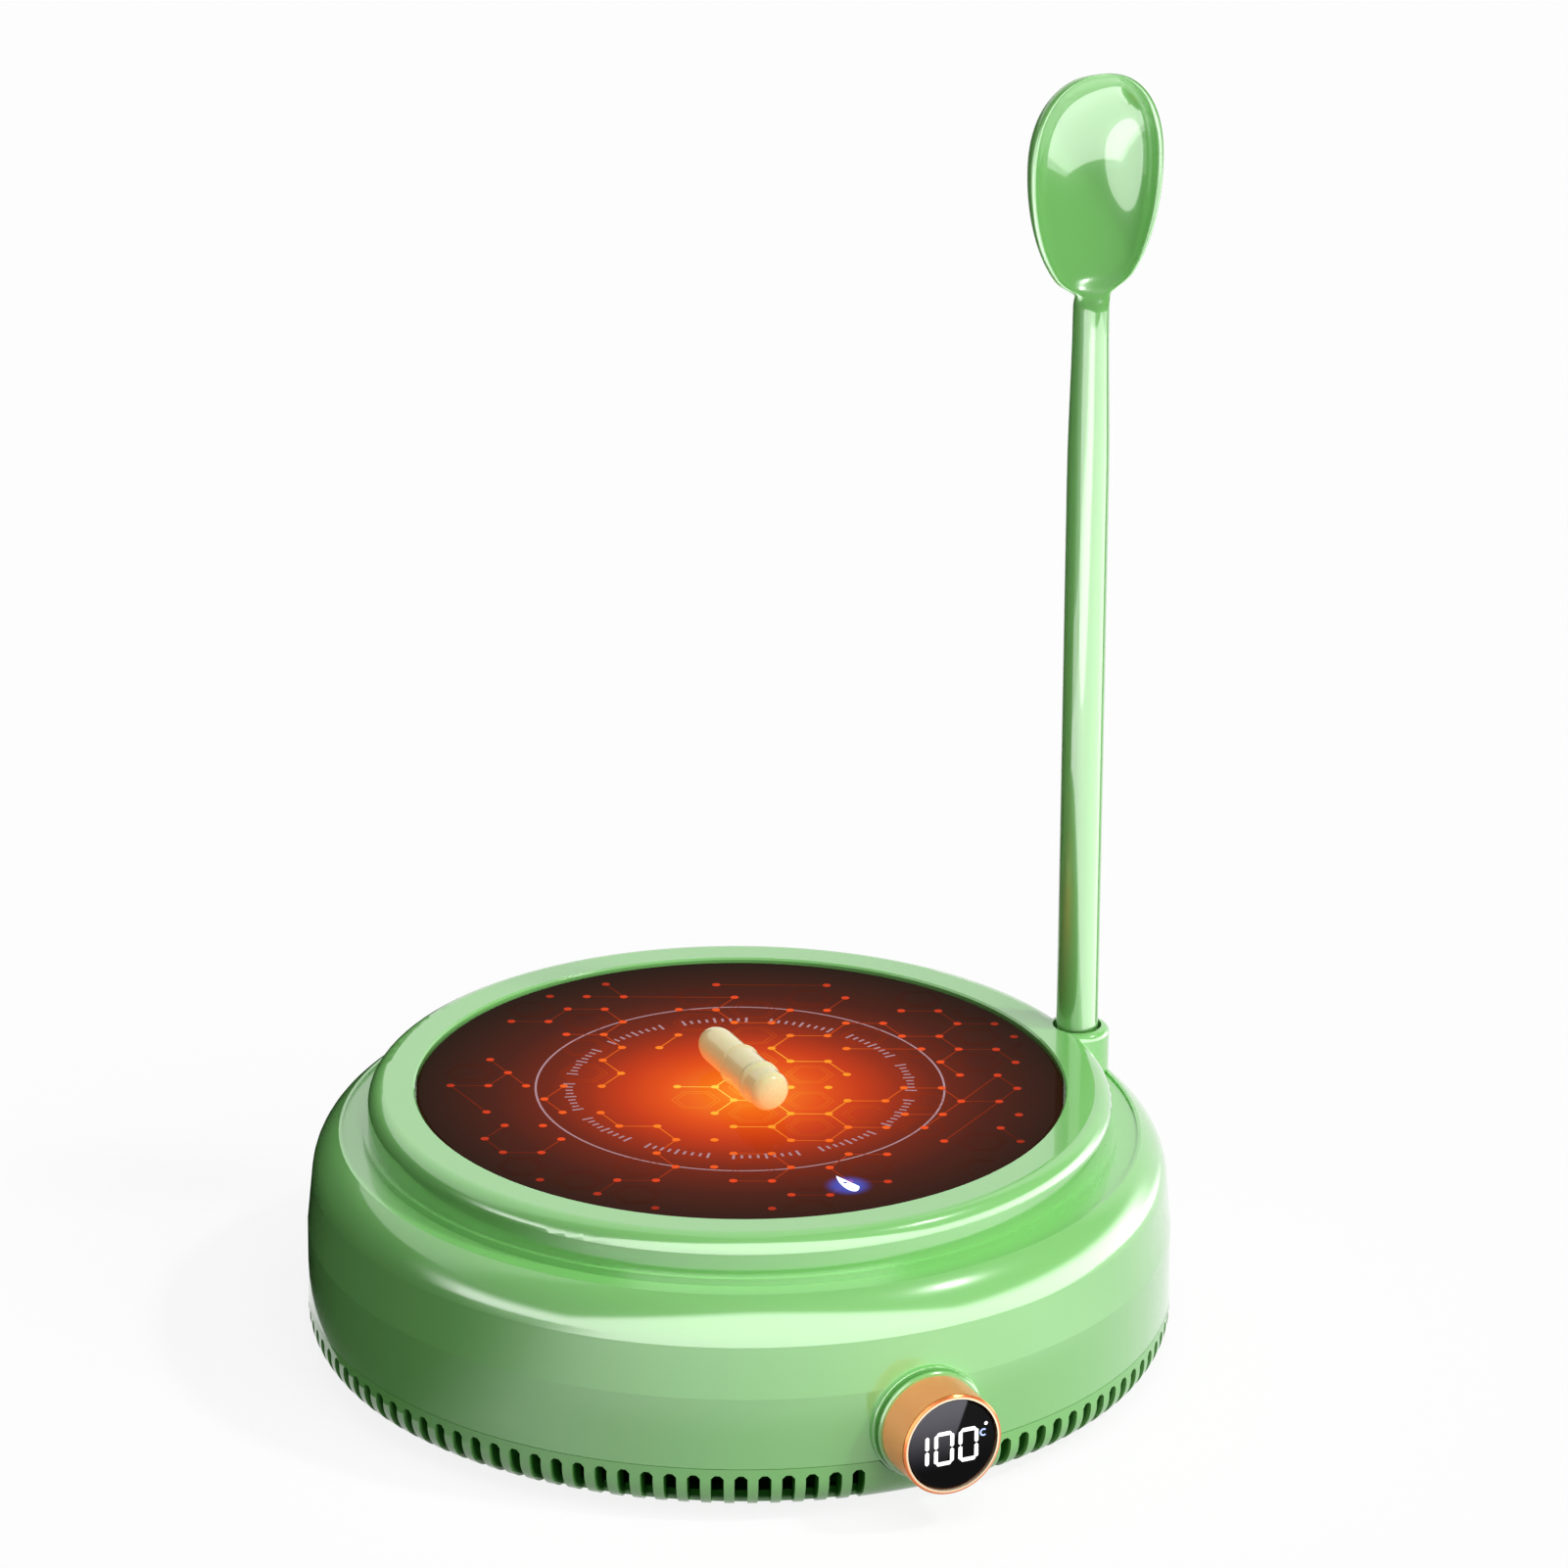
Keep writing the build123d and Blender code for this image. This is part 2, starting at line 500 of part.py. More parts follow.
def make_base_pan():
    pan = turned(base_pan_outline())
    cutter = slot_cutter()
    pan -= [Rot(0, 0, angle) * cutter for angle in slot_angles()]
    pan -= spindle(KNOB_BOSS_RADIUS + SEAM_GAP, KNOB_BOSS_BACK - CUT_OVER, KNOB_BOSS_FACE + CUT_OVER)
    head_seat = UNDERSIDE_Z + SCREW_SINK + SCREW_HEAD_THICK
    for x, y in case_screw_points():
        pan += disc(POST_RADIUS, UNDERSIDE_Z, POST_FOOT_Z, x, y)
        pan -= disc(SCREW_HEAD_RADIUS + HEAD_CLEARANCE, UNDERSIDE_Z - CUT_OVER, head_seat, x, y)
        pan -= disc(SCREW_RADIUS + SCREW_CLEARANCE, head_seat, POST_FOOT_Z + CUT_OVER, x, y)
    pan += tube(CRADLE_RADIUS, MOUNT_RADIUS, FLOOR_TOP_Z, FLOOR_TOP_Z + CRADLE_HEIGHT)
    board_bottom = BOARD_TOP_Z - BOARD_THICK
    for x, y in board_screw_points():
        pan += disc(STANDOFF_RADIUS, FLOOR_TOP_Z, board_bottom, x, y)
        pan -= disc(BOARD_SCREW_RADIUS, BOARD_TOP_Z - BOARD_SCREW_LENGTH, board_bottom + CUT_OVER, x, y)
    pan += [board_guide(side) for side in (-1, 1)]
    foot_groove_top = UNDERSIDE_Z + FOOT_SOCKET
    return pan - tube(FOOT_OUTER_RADIUS, FOOT_INNER_RADIUS, UNDERSIDE_Z - CUT_OVER, foot_groove_top)


def board_guide(side):
    """Slotted upright that holds one edge of the control board."""
    edge = CONTROL_BOARD_WIDTH / 2
    x = side * (edge + GUIDE_SIZE / 2 - GUIDE_DEPTH)
    y = -CONTROL_BOARD_FACE + BOARD_THICK / 2
    top = FLOOR_TOP_Z + GUIDE_HEIGHT
    upright = block(GUIDE_SIZE, GUIDE_SIZE, FLOOR_TOP_Z, top, x, y)
    return upright - block(CONTROL_BOARD_WIDTH, BOARD_THICK, FLOOR_TOP_Z, top, 0, y)


def make_foot_ring():
    foot = tube(FOOT_OUTER_RADIUS, FOOT_INNER_RADIUS, 0, UNDERSIDE_Z + FOOT_SOCKET)
    return chamfer(foot.edges().filter_by(GeomType.CIRCLE).sort_by(Axis.Z)[:2], FOOT_EDGE)


def make_base_screws():
    seat = UNDERSIDE_Z + SCREW_SINK + SCREW_HEAD_THICK
    screws = [
        screw(SCREW_HEAD_RADIUS, SCREW_HEAD_THICK, SCREW_RADIUS, SCREW_LENGTH, seat, x, y)
        for x, y in case_screw_points()
    ]
    return Compound(children=screws)


# ---- Glass and heater --------------------------------------------------------------------------
def make_glass_plate():
    plate = disc(GLASS_RADIUS, GLASS_BOTTOM_Z, GLASS_TOP_Z)
    return chamfer(plate.edges().sort_by(Axis.Z)[-1], GLASS_CHAMFER)


def make_glass_gasket():
    return tube(GLASS_RADIUS, SEAT_RADIUS, SEAT_Z, GLASS_BOTTOM_Z)


def make_spreader_plate():
    return disc(SPREADER_RADIUS, SPREADER_Z, GLASS_BOTTOM_Z)


def make_heater_element():
    return disc(HEATER_RADIUS, HEATER_Z, SPREADER_Z)


def make_insulation_disc():
    felt = disc(SPREADER_RADIUS, BRACKET_TOP_Z, HEATER_Z)
    return felt - disc(SENSOR_RADIUS + SENSOR_CLEARANCE, BRACKET_TOP_Z, HEATER_Z, SENSOR_X, SENSOR_Y)


def make_heater_bracket():
    plate = disc(BRACKET_RADIUS, BRACKET_Z, BRACKET_TOP_Z)
    for x, y in bracket_screw_points():
        reach = BRACKET_SCREW_RADIUS + BRACKET_BOSS_RADIUS
        ear = Pos(reach / 2, 0, BRACKET_Z) * Box(reach, BRACKET_EAR_WIDTH, BRACKET_THICK, align=ON_FLOOR)
        plate += Rot(0, 0, math.degrees(math.atan2(y, x))) * ear
    for x, y in bracket_screw_points():
        plate -= disc(SCREW_RADIUS + SCREW_CLEARANCE, BRACKET_Z, BRACKET_TOP_Z, x, y)
    plate -= disc(BRACKET_HOLE_RADIUS, BRACKET_Z, BRACKET_TOP_Z)
    return plate - disc(SENSOR_RADIUS + SENSOR_CLEARANCE, BRACKET_Z, BRACKET_TOP_Z, SENSOR_X, SENSOR_Y)


def make_bracket_screws():
    screws = [
        screw(SCREW_HEAD_RADIUS, SCREW_HEAD_THICK, SCREW_RADIUS, BRACKET_SCREW_LENGTH, BRACKET_Z, x, y)
        for x, y in bracket_screw_points()
    ]
    return Compound(children=screws)


def make_temperature_sensor():
    bead = disc(SENSOR_RADIUS, HEATER_Z - SENSOR_LENGTH, HEATER_Z, SENSOR_X, SENSOR_Y)
    return fillet(bead.edges().sort_by(Axis.Z)[0], SENSOR_RADIUS / 2)


def make_thermal_fuse():
    z = BRACKET_Z - FUSE_GAP - FUSE_RADIUS
    return Pos(FUSE_X, 0, z) * Rot(90, 0, 0) * Cylinder(FUSE_RADIUS, FUSE_LENGTH)


def make_touch_board():
    top = BRACKET_TOP_Z + BOARD_THICK
    return block(TOUCH_BOARD_LENGTH, TOUCH_BOARD_WIDTH, BRACKET_TOP_Z, top, 0, TOUCH_Y)


def make_touch_pad():
    return disc(TOUCH_PAD_RADIUS, BRACKET_TOP_Z + BOARD_THICK, GLASS_BOTTOM_Z, 0, TOUCH_Y)


# ---- Stirrer -----------------------------------------------------------------------------------
def make_motor_mount():
    cup = disc(MOUNT_RADIUS, FLOOR_TOP_Z, FLOOR_TOP_Z + MOUNT_HEIGHT)
    return cup - disc(MOTOR_RADIUS, MOTOR_Z, FLOOR_TOP_Z + MOUNT_HEIGHT)


def make_stir_motor():
    can = disc(MOTOR_RADIUS, MOTOR_Z, MOTOR_TOP_Z)
    can = chamfer(can.edges().sort_by(Axis.Z)[-1], ROTOR_EDGE)
    can += disc(MOTOR_NOSE_RADIUS, MOTOR_TOP_Z, NOSE_TOP_Z)
    return can - disc(SHAFT_RADIUS + RUNNING_FIT, NOSE_TOP_Z - SHAFT_INSERT - ROTOR_EDGE, NOSE_TOP_Z)


def make_motor_shaft():
    return disc(SHAFT_RADIUS, NOSE_TOP_Z - SHAFT_INSERT, SHAFT_TOP_Z)


def magnet_points():
    return [(0, MAGNET_OFFSET), (0, -MAGNET_OFFSET)]


def make_rotor_disc():
    top = ROTOR_Z + ROTOR_THICK
    rotor = disc(ROTOR_RADIUS, ROTOR_Z, top)
    rotor = chamfer(rotor.edges().sort_by(Axis.Z)[-1], ROTOR_EDGE)
    rotor += disc(ROTOR_HUB_RADIUS, ROTOR_Z - ROTOR_HUB_HEIGHT, ROTOR_Z)
    rotor -= disc(SHAFT_RADIUS, ROTOR_Z - ROTOR_HUB_HEIGHT, SHAFT_TOP_Z)
    return rotor - [disc(MAGNET_RADIUS, top - MAGNET_THICK, top, x, y) for x, y in magnet_points()]


def make_rotor_magnets():
    top = ROTOR_Z + ROTOR_THICK
    return Compound(children=[disc(MAGNET_RADIUS, top - MAGNET_THICK, top, x, y) for x, y in magnet_points()])


def make_stir_bar():
    """White capsule with two raised rings, on its side, with a closed hole for its magnet."""
    half = BAR_LENGTH / 2
    diagonal = BAR_RADIUS * math.sqrt(0.5)
    end = half - BAR_RADIUS
    core = Line((0, half), (0, -half))
    lower_end = ThreePointArc((0, -half), (diagonal, -end - diagonal), (BAR_RADIUS, -end))
    side = Line((BAR_RADIUS, -end), (BAR_RADIUS, end))
    upper_end = ThreePointArc((BAR_RADIUS, end), (diagonal, end + diagonal), (0, half))
    capsule = turned(core + lower_end + side + upper_end)
    for middle in (-BAR_RING_OFFSET, BAR_RING_OFFSET):
        foot = BAR_RING_WIDTH / 2 + BAR_RING_SLOPE
        crest = BAR_RING_WIDTH / 2
        capsule += turned(Polyline(
            (0, middle - foot), (BAR_RADIUS, middle - foot), (BAR_RING_RADIUS, middle - crest),
            (BAR_RING_RADIUS, middle + crest), (BAR_RADIUS, middle + foot), (0, middle + foot), close=True,
        ))
    magnet_half = BAR_MAGNET_LENGTH / 2
    capsule -= disc(BAR_MAGNET_RADIUS, -magnet_half, magnet_half)
    return Pos(0, 0, BAR_Z) * Rot(90, 0, 0) * capsule


def make_stir_bar_magnet():
    return Pos(0, 0, BAR_Z) * Rot(90, 0, 0) * Cylinder(BAR_MAGNET_RADIUS, BAR_MAGNET_LENGTH)


# ---- Main board --------------------------------------------------------------------------------
def make_main_board():
    bottom = BOARD_TOP_Z - BOARD_THICK
    board = block(MAIN_BOARD_LENGTH, MAIN_BOARD_WIDTH, bottom, BOARD_TOP_Z, 0, MAIN_BOARD_Y)
    for x, y in board_screw_points():
        board -= disc(BOARD_SCREW_RADIUS + SCREW_CLEARANCE, bottom, BOARD_TOP_Z, x, y)
    return board


def make_board_screws():
    screws = []
    for x, y in board_screw_points():
        head = disc(BOARD_SCREW_HEAD, BOARD_TOP_Z, BOARD_TOP_Z + BOARD_SCREW_HEAD_THICK, x, y)
        screws.append(head + disc(BOARD_SCREW_RADIUS, BOARD_TOP_Z - BOARD_SCREW_LENGTH, BOARD_TOP_Z, x, y))
    return Compound(children=screws)


def make_power_relay():
    top = BOARD_TOP_Z + RELAY_HEIGHT
    case = block(RELAY_LENGTH, RELAY_WIDTH, BOARD_TOP_Z, top, RELAY_X, MAIN_BOARD_Y)
    return chamfer(case.edges().filter_by(Axis.Z), RELAY_EDGE)


def make_mains_capacitor():
    can = disc(CAPACITOR_RADIUS, BOARD_TOP_Z, BOARD_TOP_Z + CAPACITOR_HEIGHT, CAPACITOR_X, MAIN_BOARD_Y)
    return chamfer(can.edges().sort_by(Axis.Z)[-1], CAPACITOR_EDGE)


def make_board_header():
    top = BOARD_TOP_Z + HEADER_HEIGHT
    shroud = block(HEADER_LENGTH, HEADER_WIDTH, BOARD_TOP_Z, top, HEADER_X, MAIN_BOARD_Y)
    length = HEADER_LENGTH - 2 * HEADER_WALL
    width = HEADER_WIDTH - 2 * HEADER_WALL
    return shroud - block(length, width, BOARD_TOP_Z + HEADER_FLOOR, top + CUT_OVER, HEADER_X, MAIN_BOARD_Y)


# ---- Knob --------------------------------------------------------------------------------------
def make_knob_encoder():
    front = KNOB_BOSS_BACK
    back = front - ENCODER_THICK
    body = KNOB_AXIS.offset(back) * Box(ENCODER_SIDE, ENCODER_SIDE, ENCODER_THICK, align=ON_FLOOR)
    body = chamfer(body.edges().filter_by(Axis.Y), ENCODER_CORNER)
    body += spindle(BUSHING_RADIUS, front, BUSHING_END)
    return body - spindle(HUB_RADIUS + RUNNING_FIT, back, BUSHING_END)


def make_encoder_nut():
    start = KNOB_BOSS_FACE - KNOB_RECESS_DEPTH
    hexagon = RegularPolygon(NUT_FLATS / 2, 6, major_radius=False)
    nut = extrude(KNOB_AXIS.offset(start) * hexagon, NUT_THICK)
    return nut - spindle(BUSHING_RADIUS, start, start + NUT_THICK)


def make_knob_collar():
    ring = collar(COLLAR_RADIUS, HUB_RADIUS, COLLAR_BACK, SLEEVE_START)
    return chamfer(ring.edges().filter_by(GeomType.CIRCLE).sort_by(SortBy.RADIUS)[-2:], COLLAR_THICK / 4)


def make_knob_sleeve():
    sleeve = spindle(SLEEVE_RADIUS, SLEEVE_START, SLEEVE_FRONT)
    sleeve -= spindle(SLEEVE_BORE, SLEEVE_START + SLEEVE_BACK, SLEEVE_FRONT)
    sleeve += spindle(HUB_RADIUS, HUB_END, SLEEVE_START)
    return sleeve - spindle(STEM_RADIUS + RUNNING_FIT, HUB_END, SLEEVE_START + SLEEVE_BACK)


def make_knob_trim():
    ring = collar(SLEEVE_RADIUS, SLEEVE_BORE, SLEEVE_FRONT, KNOB_FRONT)
    rim = ring.edges().filter_by(GeomType.CIRCLE).sort_by(Axis.Y)[:2].sort_by(SortBy.RADIUS)[-1]
    return chamfer(rim, SLEEVE_EDGE)


def make_display_carrier():
    """Cup that holds the display, on a hollow stem that doesn't turn."""
    cup = spindle(CARRIER_RADIUS, CARRIER_START, LENS_BACK)
    cup -= spindle(CARRIER_RADIUS - CARRIER_WALL, CARRIER_START + CARRIER_FLOOR, LENS_BACK)
    cup += spindle(STEM_RADIUS, STEM_END, CARRIER_START)
    clip_end = HUB_END - CLIP_PLAY
    cup -= collar(STEM_RADIUS, STEM_RADIUS - CLIP_GROOVE, clip_end - CLIP_THICK, clip_end)
    return cup - spindle(STEM_BORE, STEM_END + CLIP_THICK, CARRIER_START + CARRIER_FLOOR)


def make_stem_clip():
    clip_end = HUB_END - CLIP_PLAY
    clip = collar(CLIP_RADIUS, STEM_RADIUS - CLIP_GROOVE, clip_end - CLIP_THICK, clip_end)
    mouth = KNOB_AXIS.offset(clip_end - CLIP_THICK) * Pos(0, -CLIP_RADIUS / 2 - STEM_BORE / 2, 0)
    return clip - mouth * Box(CLIP_MOUTH, CLIP_RADIUS, CLIP_THICK, align=ON_FLOOR)


def make_display_board():
    start = CARRIER_START + CARRIER_FLOOR
    return spindle(CARRIER_RADIUS - CARRIER_WALL, start, start + DISPLAY_THICK)


def make_display_lens():
    lens = spindle(CARRIER_RADIUS, LENS_BACK, LENS_FRONT)
    return chamfer(lens.edges().sort_by(Axis.Y)[0], LENS_CHAMFER)


# ---- Control board -----------------------------------------------------------------------------
def make_control_board():
    y = -CONTROL_BOARD_FACE + BOARD_THICK / 2
    top = FLOOR_TOP_Z + CONTROL_BOARD_HEIGHT
    return block(CONTROL_BOARD_WIDTH, BOARD_THICK, FLOOR_TOP_Z, top, 0, y)


def make_push_switch():
    body_end = CONTROL_BOARD_FACE + SWITCH_THICK
    body = KNOB_AXIS.offset(CONTROL_BOARD_FACE) * Box(SWITCH_SIDE, SWITCH_SIDE, SWITCH_THICK, align=ON_FLOOR)
    return body + spindle(PLUNGER_RADIUS, body_end, PLUNGER_END)


# ---- Cord inlet --------------------------------------------------------------------------------
def make_inlet_bush():
    face = INLET_PAD_FACE
    back = INLET_PAD_BACK
    bush = spindle(INLET_FLANGE, face, face + INLET_FLANGE_THICK, INLET_AXIS)
    bush = chamfer(bush.edges().sort_by(Axis.Y)[-1], INLET_CHAMFER)
    bush += spindle(INLET_NECK, back, face, INLET_AXIS)
    bush += spindle(INLET_FLANGE, back - INLET_FLANGE_THICK, back, INLET_AXIS)
    return bush - spindle(INLET_BORE, back - INLET_FLANGE_THICK, face + INLET_FLANGE_THICK, INLET_AXIS)


# ---- Spoon -------------------------------------------------------------------------------------
def make_socket_liner():
    radius = SOCKET_RADIUS - LINER_CLEARANCE
    return disc(radius, SOCKET_FLOOR_Z, SOCKET_FLOOR_Z + LINER_THICK, SOCKET_X)


def egg(inset):
    """Egg-shaped solid about Z at the bowl's widest height, flattened to the bowl's depth."""
    half_width = BOWL_WIDTH / 2 - inset
    up = BOWL_WIDEST - inset
    down = BOWL_LENGTH - BOWL_WIDEST - inset
    right = Pos(half_width / 2, 0) * Rectangle(half_width, BOWL_LENGTH * 2)
    above = Pos(0, up / 2) * Rectangle(half_width * 2, up)
    below = Pos(0, -down / 2) * Rectangle(half_width * 2, down)
    outline = (Ellipse(half_width, up) & right & above) + (Ellipse(half_width, down) & right & below)
    depth = BOWL_DEPTH - inset
    whole = revolve(Plane.XZ * outline, axis=Axis.Z)
    return scale(whole, by=(1, depth / half_width, 1))


def make_spoon():
    widest_z = SPOON_TIP_Z - BOWL_WIDEST
    at_bowl = Pos(SOCKET_X, BOWL_RIM_Y, widest_z)
    behind = Pos(SOCKET_X, BOWL_RIM_Y, BOWL_BOTTOM_Z) * Box(
        BOWL_WIDTH, BOWL_DEPTH, BOWL_LENGTH, align=(Align.CENTER, Align.MIN, Align.MIN)
    )
    bowl = (at_bowl * egg(0)) & behind
    length = BOWL_BOTTOM_Z + NECK_RISE - SPOON_FOOT_Z
    handle = Pos(SOCKET_X, 0, SPOON_FOOT_Z) * Cone(HANDLE_RADIUS, NECK_RADIUS, length, align=ON_FLOOR)
    handle = fillet(handle.edges().sort_by(Axis.Z)[0], HANDLE_RADIUS / 2)
    handle = fillet(handle.edges().sort_by(Axis.Z)[-1], NECK_ROUND)
    return bowl + handle - at_bowl * egg(BOWL_WALL)


PARTS = {
    "housing": make_housing,
    "base_pan": make_base_pan,
    "foot_ring": make_foot_ring,
    "base_screws": make_base_screws,
    "glass_plate": make_glass_plate,
    "glass_gasket": make_glass_gasket,
    "spreader_plate": make_spreader_plate,
    "heater_element": make_heater_element,
    "insulation_disc": make_insulation_disc,
    "heater_bracket": make_heater_bracket,
    "bracket_screws": make_bracket_screws,
    "temperature_sensor": make_temperature_sensor,
    "thermal_fuse": make_thermal_fuse,
    "touch_board": make_touch_board,
    "touch_pad": make_touch_pad,
    "motor_mount": make_motor_mount,
    "stir_motor": make_stir_motor,
    "motor_shaft": make_motor_shaft,
    "rotor_disc": make_rotor_disc,
    "rotor_magnets": make_rotor_magnets,
    "stir_bar": make_stir_bar,
    "stir_bar_magnet": make_stir_bar_magnet,
    "main_board": make_main_board,
    "board_screws": make_board_screws,
    "power_relay": make_power_relay,
    "mains_capacitor": make_mains_capacitor,
    "board_header": make_board_header,
    "knob_encoder": make_knob_encoder,
    "encoder_nut": make_encoder_nut,
    "knob_collar": make_knob_collar,
    "knob_sleeve": make_knob_sleeve,
    "knob_trim": make_knob_trim,
    "display_carrier": make_display_carrier,
    "stem_clip": make_stem_clip,
    "display_board": make_display_board,
    "display_lens": make_display_lens,
    "control_board": make_control_board,
    "push_switch": make_push_switch,
    "inlet_bush": make_inlet_bush,
    "socket_liner": make_socket_liner,
    "spoon": make_spoon,
}

os.makedirs("parts", exist_ok=True)
for name, make in PARTS.items():
    export_step(make(), f"parts/{name}.step")
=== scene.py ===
"""Electric mug warmer with a stirring plate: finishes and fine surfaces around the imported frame."""

import math

import bpy
import numpy as np
from bpy.props import FloatProperty, FloatVectorProperty, IntProperty, PointerProperty
from mathutils import Matrix, Vector


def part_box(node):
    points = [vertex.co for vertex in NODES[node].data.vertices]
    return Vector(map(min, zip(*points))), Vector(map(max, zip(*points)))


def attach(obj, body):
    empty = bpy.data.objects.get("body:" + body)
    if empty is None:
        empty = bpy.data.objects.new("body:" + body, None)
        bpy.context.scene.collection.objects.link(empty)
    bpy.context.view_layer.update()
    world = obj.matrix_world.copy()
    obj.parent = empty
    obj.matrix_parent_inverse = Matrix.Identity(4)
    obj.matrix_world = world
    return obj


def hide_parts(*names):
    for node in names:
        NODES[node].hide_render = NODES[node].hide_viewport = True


bl_info = {
    "name": "Mug warmer builder",
    "version": (1, 0, 0),
    "blender": (4, 5, 0),
    "location": "View3D > Sidebar > Mug warmer",
    "description": "Builds the finishes, plate print, display, spoon and stage of a stirring mug warmer",
    "category": "Object",
}

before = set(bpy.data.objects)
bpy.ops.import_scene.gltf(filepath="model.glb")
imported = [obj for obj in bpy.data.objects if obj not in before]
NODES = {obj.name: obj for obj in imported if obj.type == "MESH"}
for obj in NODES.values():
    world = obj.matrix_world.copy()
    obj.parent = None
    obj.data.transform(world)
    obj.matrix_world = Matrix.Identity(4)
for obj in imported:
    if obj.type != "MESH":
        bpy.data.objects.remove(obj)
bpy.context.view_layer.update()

MM = 0.001
GLASS_LOW, GLASS_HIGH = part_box("glass_plate")
LENS_LOW, LENS_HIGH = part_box("display_lens")
SPOON_LOW, SPOON_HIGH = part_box("spoon")
BAR_LOW, BAR_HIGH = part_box("stir_bar")
GLASS_RADIUS = (GLASS_HIGH.x - GLASS_LOW.x) / 2
GLASS_TOP = GLASS_HIGH.z
LENS_RADIUS = (LENS_HIGH.x - LENS_LOW.x) / 2
LENS_CENTRE_Z = (LENS_HIGH.z + LENS_LOW.z) / 2
PAN_LOW, PAN_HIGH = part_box("base_pan")
BODY_RADIUS = (PAN_HIGH.x - PAN_LOW.x) / 2
PRINT_LIFT = 0.03 * MM          # height of each layer of print above the face or layer below it


# ---- Sizes and colours that a user may change --------------------------------------------------
def colour_property(name, description, default):
    return FloatVectorProperty(
        name=name, description=description, subtype="COLOR", size=3, min=0.0, max=1.0, default=default
    )


def length_property(name, description, default):
    return FloatProperty(
        name=name, description=description, default=default, min=0.0, unit="LENGTH", precision=5
    )


class ShellSettings(bpy.types.PropertyGroup):
    green: colour_property("Green", "Colour of the moulded shell and the spoon", (0.205, 0.555, 0.150))
    # shade is painted shade: the colour that the vent slots turn towards with depth, in place of the shade
    # inside them
    shade: colour_property("Vent shade", "Colour of the shell inside its vent slots", (0.040, 0.200, 0.030))
    roughness: FloatProperty(name="Roughness", description="Roughness of the shell's gloss", default=0.22)
    gloss: FloatProperty(name="Gloss", description="Weight of the clear gloss over the colour", default=1.0)


class PlateSettings(bpy.types.PropertyGroup):
    glass: colour_property("Glass", "Colour of the dark ceramic glass", (0.005, 0.004, 0.003))
    cell: length_property("Cell edge", "Edge of one cell of the printed lattice", 6.1 * MM)
    line: length_property("Line width", "Width of the lattice's lines", 0.24 * MM)
    dot: length_property("Dot radius", "Radius of the lattice's dots", 0.68 * MM)
    guide_radius: length_property("Guide ring", "Radius of the pale ring that centres a mug", 33.0 * MM)
    tick_radius: length_property("Tick ring", "Radius of the ring of short marks", 27.6 * MM)
    seed: IntProperty(name="Layout", description="Seed of the lattice's layout", default=11)


class KnobSettings(bpy.types.PropertyGroup):
    copper: colour_property("Copper", "Colour of the turned sleeve", (0.70, 0.262, 0.092))
    rim: colour_property("Rim", "Colour of the bright rim round the display", (1.00, 0.80, 0.55))
    digit_height: length_property("Digit height", "Height of the display's figures", 5.9 * MM)


class StageSettings(bpy.types.PropertyGroup):
    lamp_strength: FloatProperty(name="Lamps", description="Factor on the strength of all lamps", default=1.0)
    sky_strength: FloatProperty(name="Sky", description="Strength of the light from all round", default=0.14)


# ---- Mesh helpers ------------------------------------------------------------------------------
def grid_faces(rows, columns, wrap_columns):
    """Quads between neighbouring rows and columns of a grid numbered row by row."""
    across = columns if wrap_columns else columns - 1
    row, column = np.meshgrid(np.arange(rows - 1), np.arange(across), indexing="ij")
    following = (column + 1) % columns
    corners = [row * columns + column, row * columns + following]
    corners += [(row + 1) * columns + following, (row + 1) * columns + column]
    return np.stack(corners, -1).reshape(-1, 4)


def linked(name, data):
    """New object that holds the data, put into the scene."""
    made = bpy.data.objects.new(name, data)
    bpy.context.scene.collection.objects.link(made)
    return made


def mesh_object(name, points, faces, material, smooth=False):
    """Object made of numpy points, faces and one material."""
    mesh = bpy.data.meshes.new(name)
    mesh.from_pydata(points.tolist(), [], [list(face) for face in faces])
    mesh.polygons.foreach_set("use_smooth", np.full(len(mesh.polygons), smooth))
    mesh.materials.append(material)
    mesh.update()
    return linked(name, mesh)


def add_piece(name, points, faces, material, body, smooth=True):
    """Mesh object that rides on a body of the frame."""
    piece = mesh_object(name, points, faces, material, smooth)
    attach(piece, body)
    return piece


def flat_polygons(outlines, lift):
    """Polygons lying at one height: each outline is an array of (x, y), in order against the clock."""
    points = [np.column_stack([outline, np.full(len(outline), lift)]) for outline in outlines]
    ends = np.cumsum([0] + [len(outline) for outline in outlines])
    faces = [np.arange(start, end) for start, end in zip(ends[:-1], ends[1:])]
    return np.concatenate(points), faces


def along_and_side(start, end, width):
    """Unit step from start towards end, and half the width at a right angle to it."""
    along = (end - start) / np.linalg.norm(end - start)
    return along, np.array([along[1], -along[0]]) * width / 2


def stroke(start, end, width):
    """Four corners of a straight stroke: each end moved by half the width to both sides."""
    side = along_and_side(start, end, width)[1]
    return np.stack([start + side, end + side, end - side, start - side])


def regular(centre, radius, count):
    """Corners of a regular polygon: centre plus radius times the cosine and sine of even angles."""
    angle = np.arange(count) * 2 * np.pi / count
    return np.asarray(centre) + radius * np.column_stack([np.cos(angle), np.sin(angle)])


def band(radius, width, count, start=0.0, sweep=2 * np.pi):
    """Arc-shaped ribbon as quads: two concentric arcs half the width inside and outside the radius."""
    angle = start + np.linspace(0, sweep, count + 1)
    ray = np.column_stack([np.cos(angle), np.sin(angle)])
    inner, outer = ray * (radius - width / 2), ray * (radius + width / 2)
    return [np.stack([inner[i], outer[i], outer[i + 1], inner[i + 1]]) for i in range(count)]


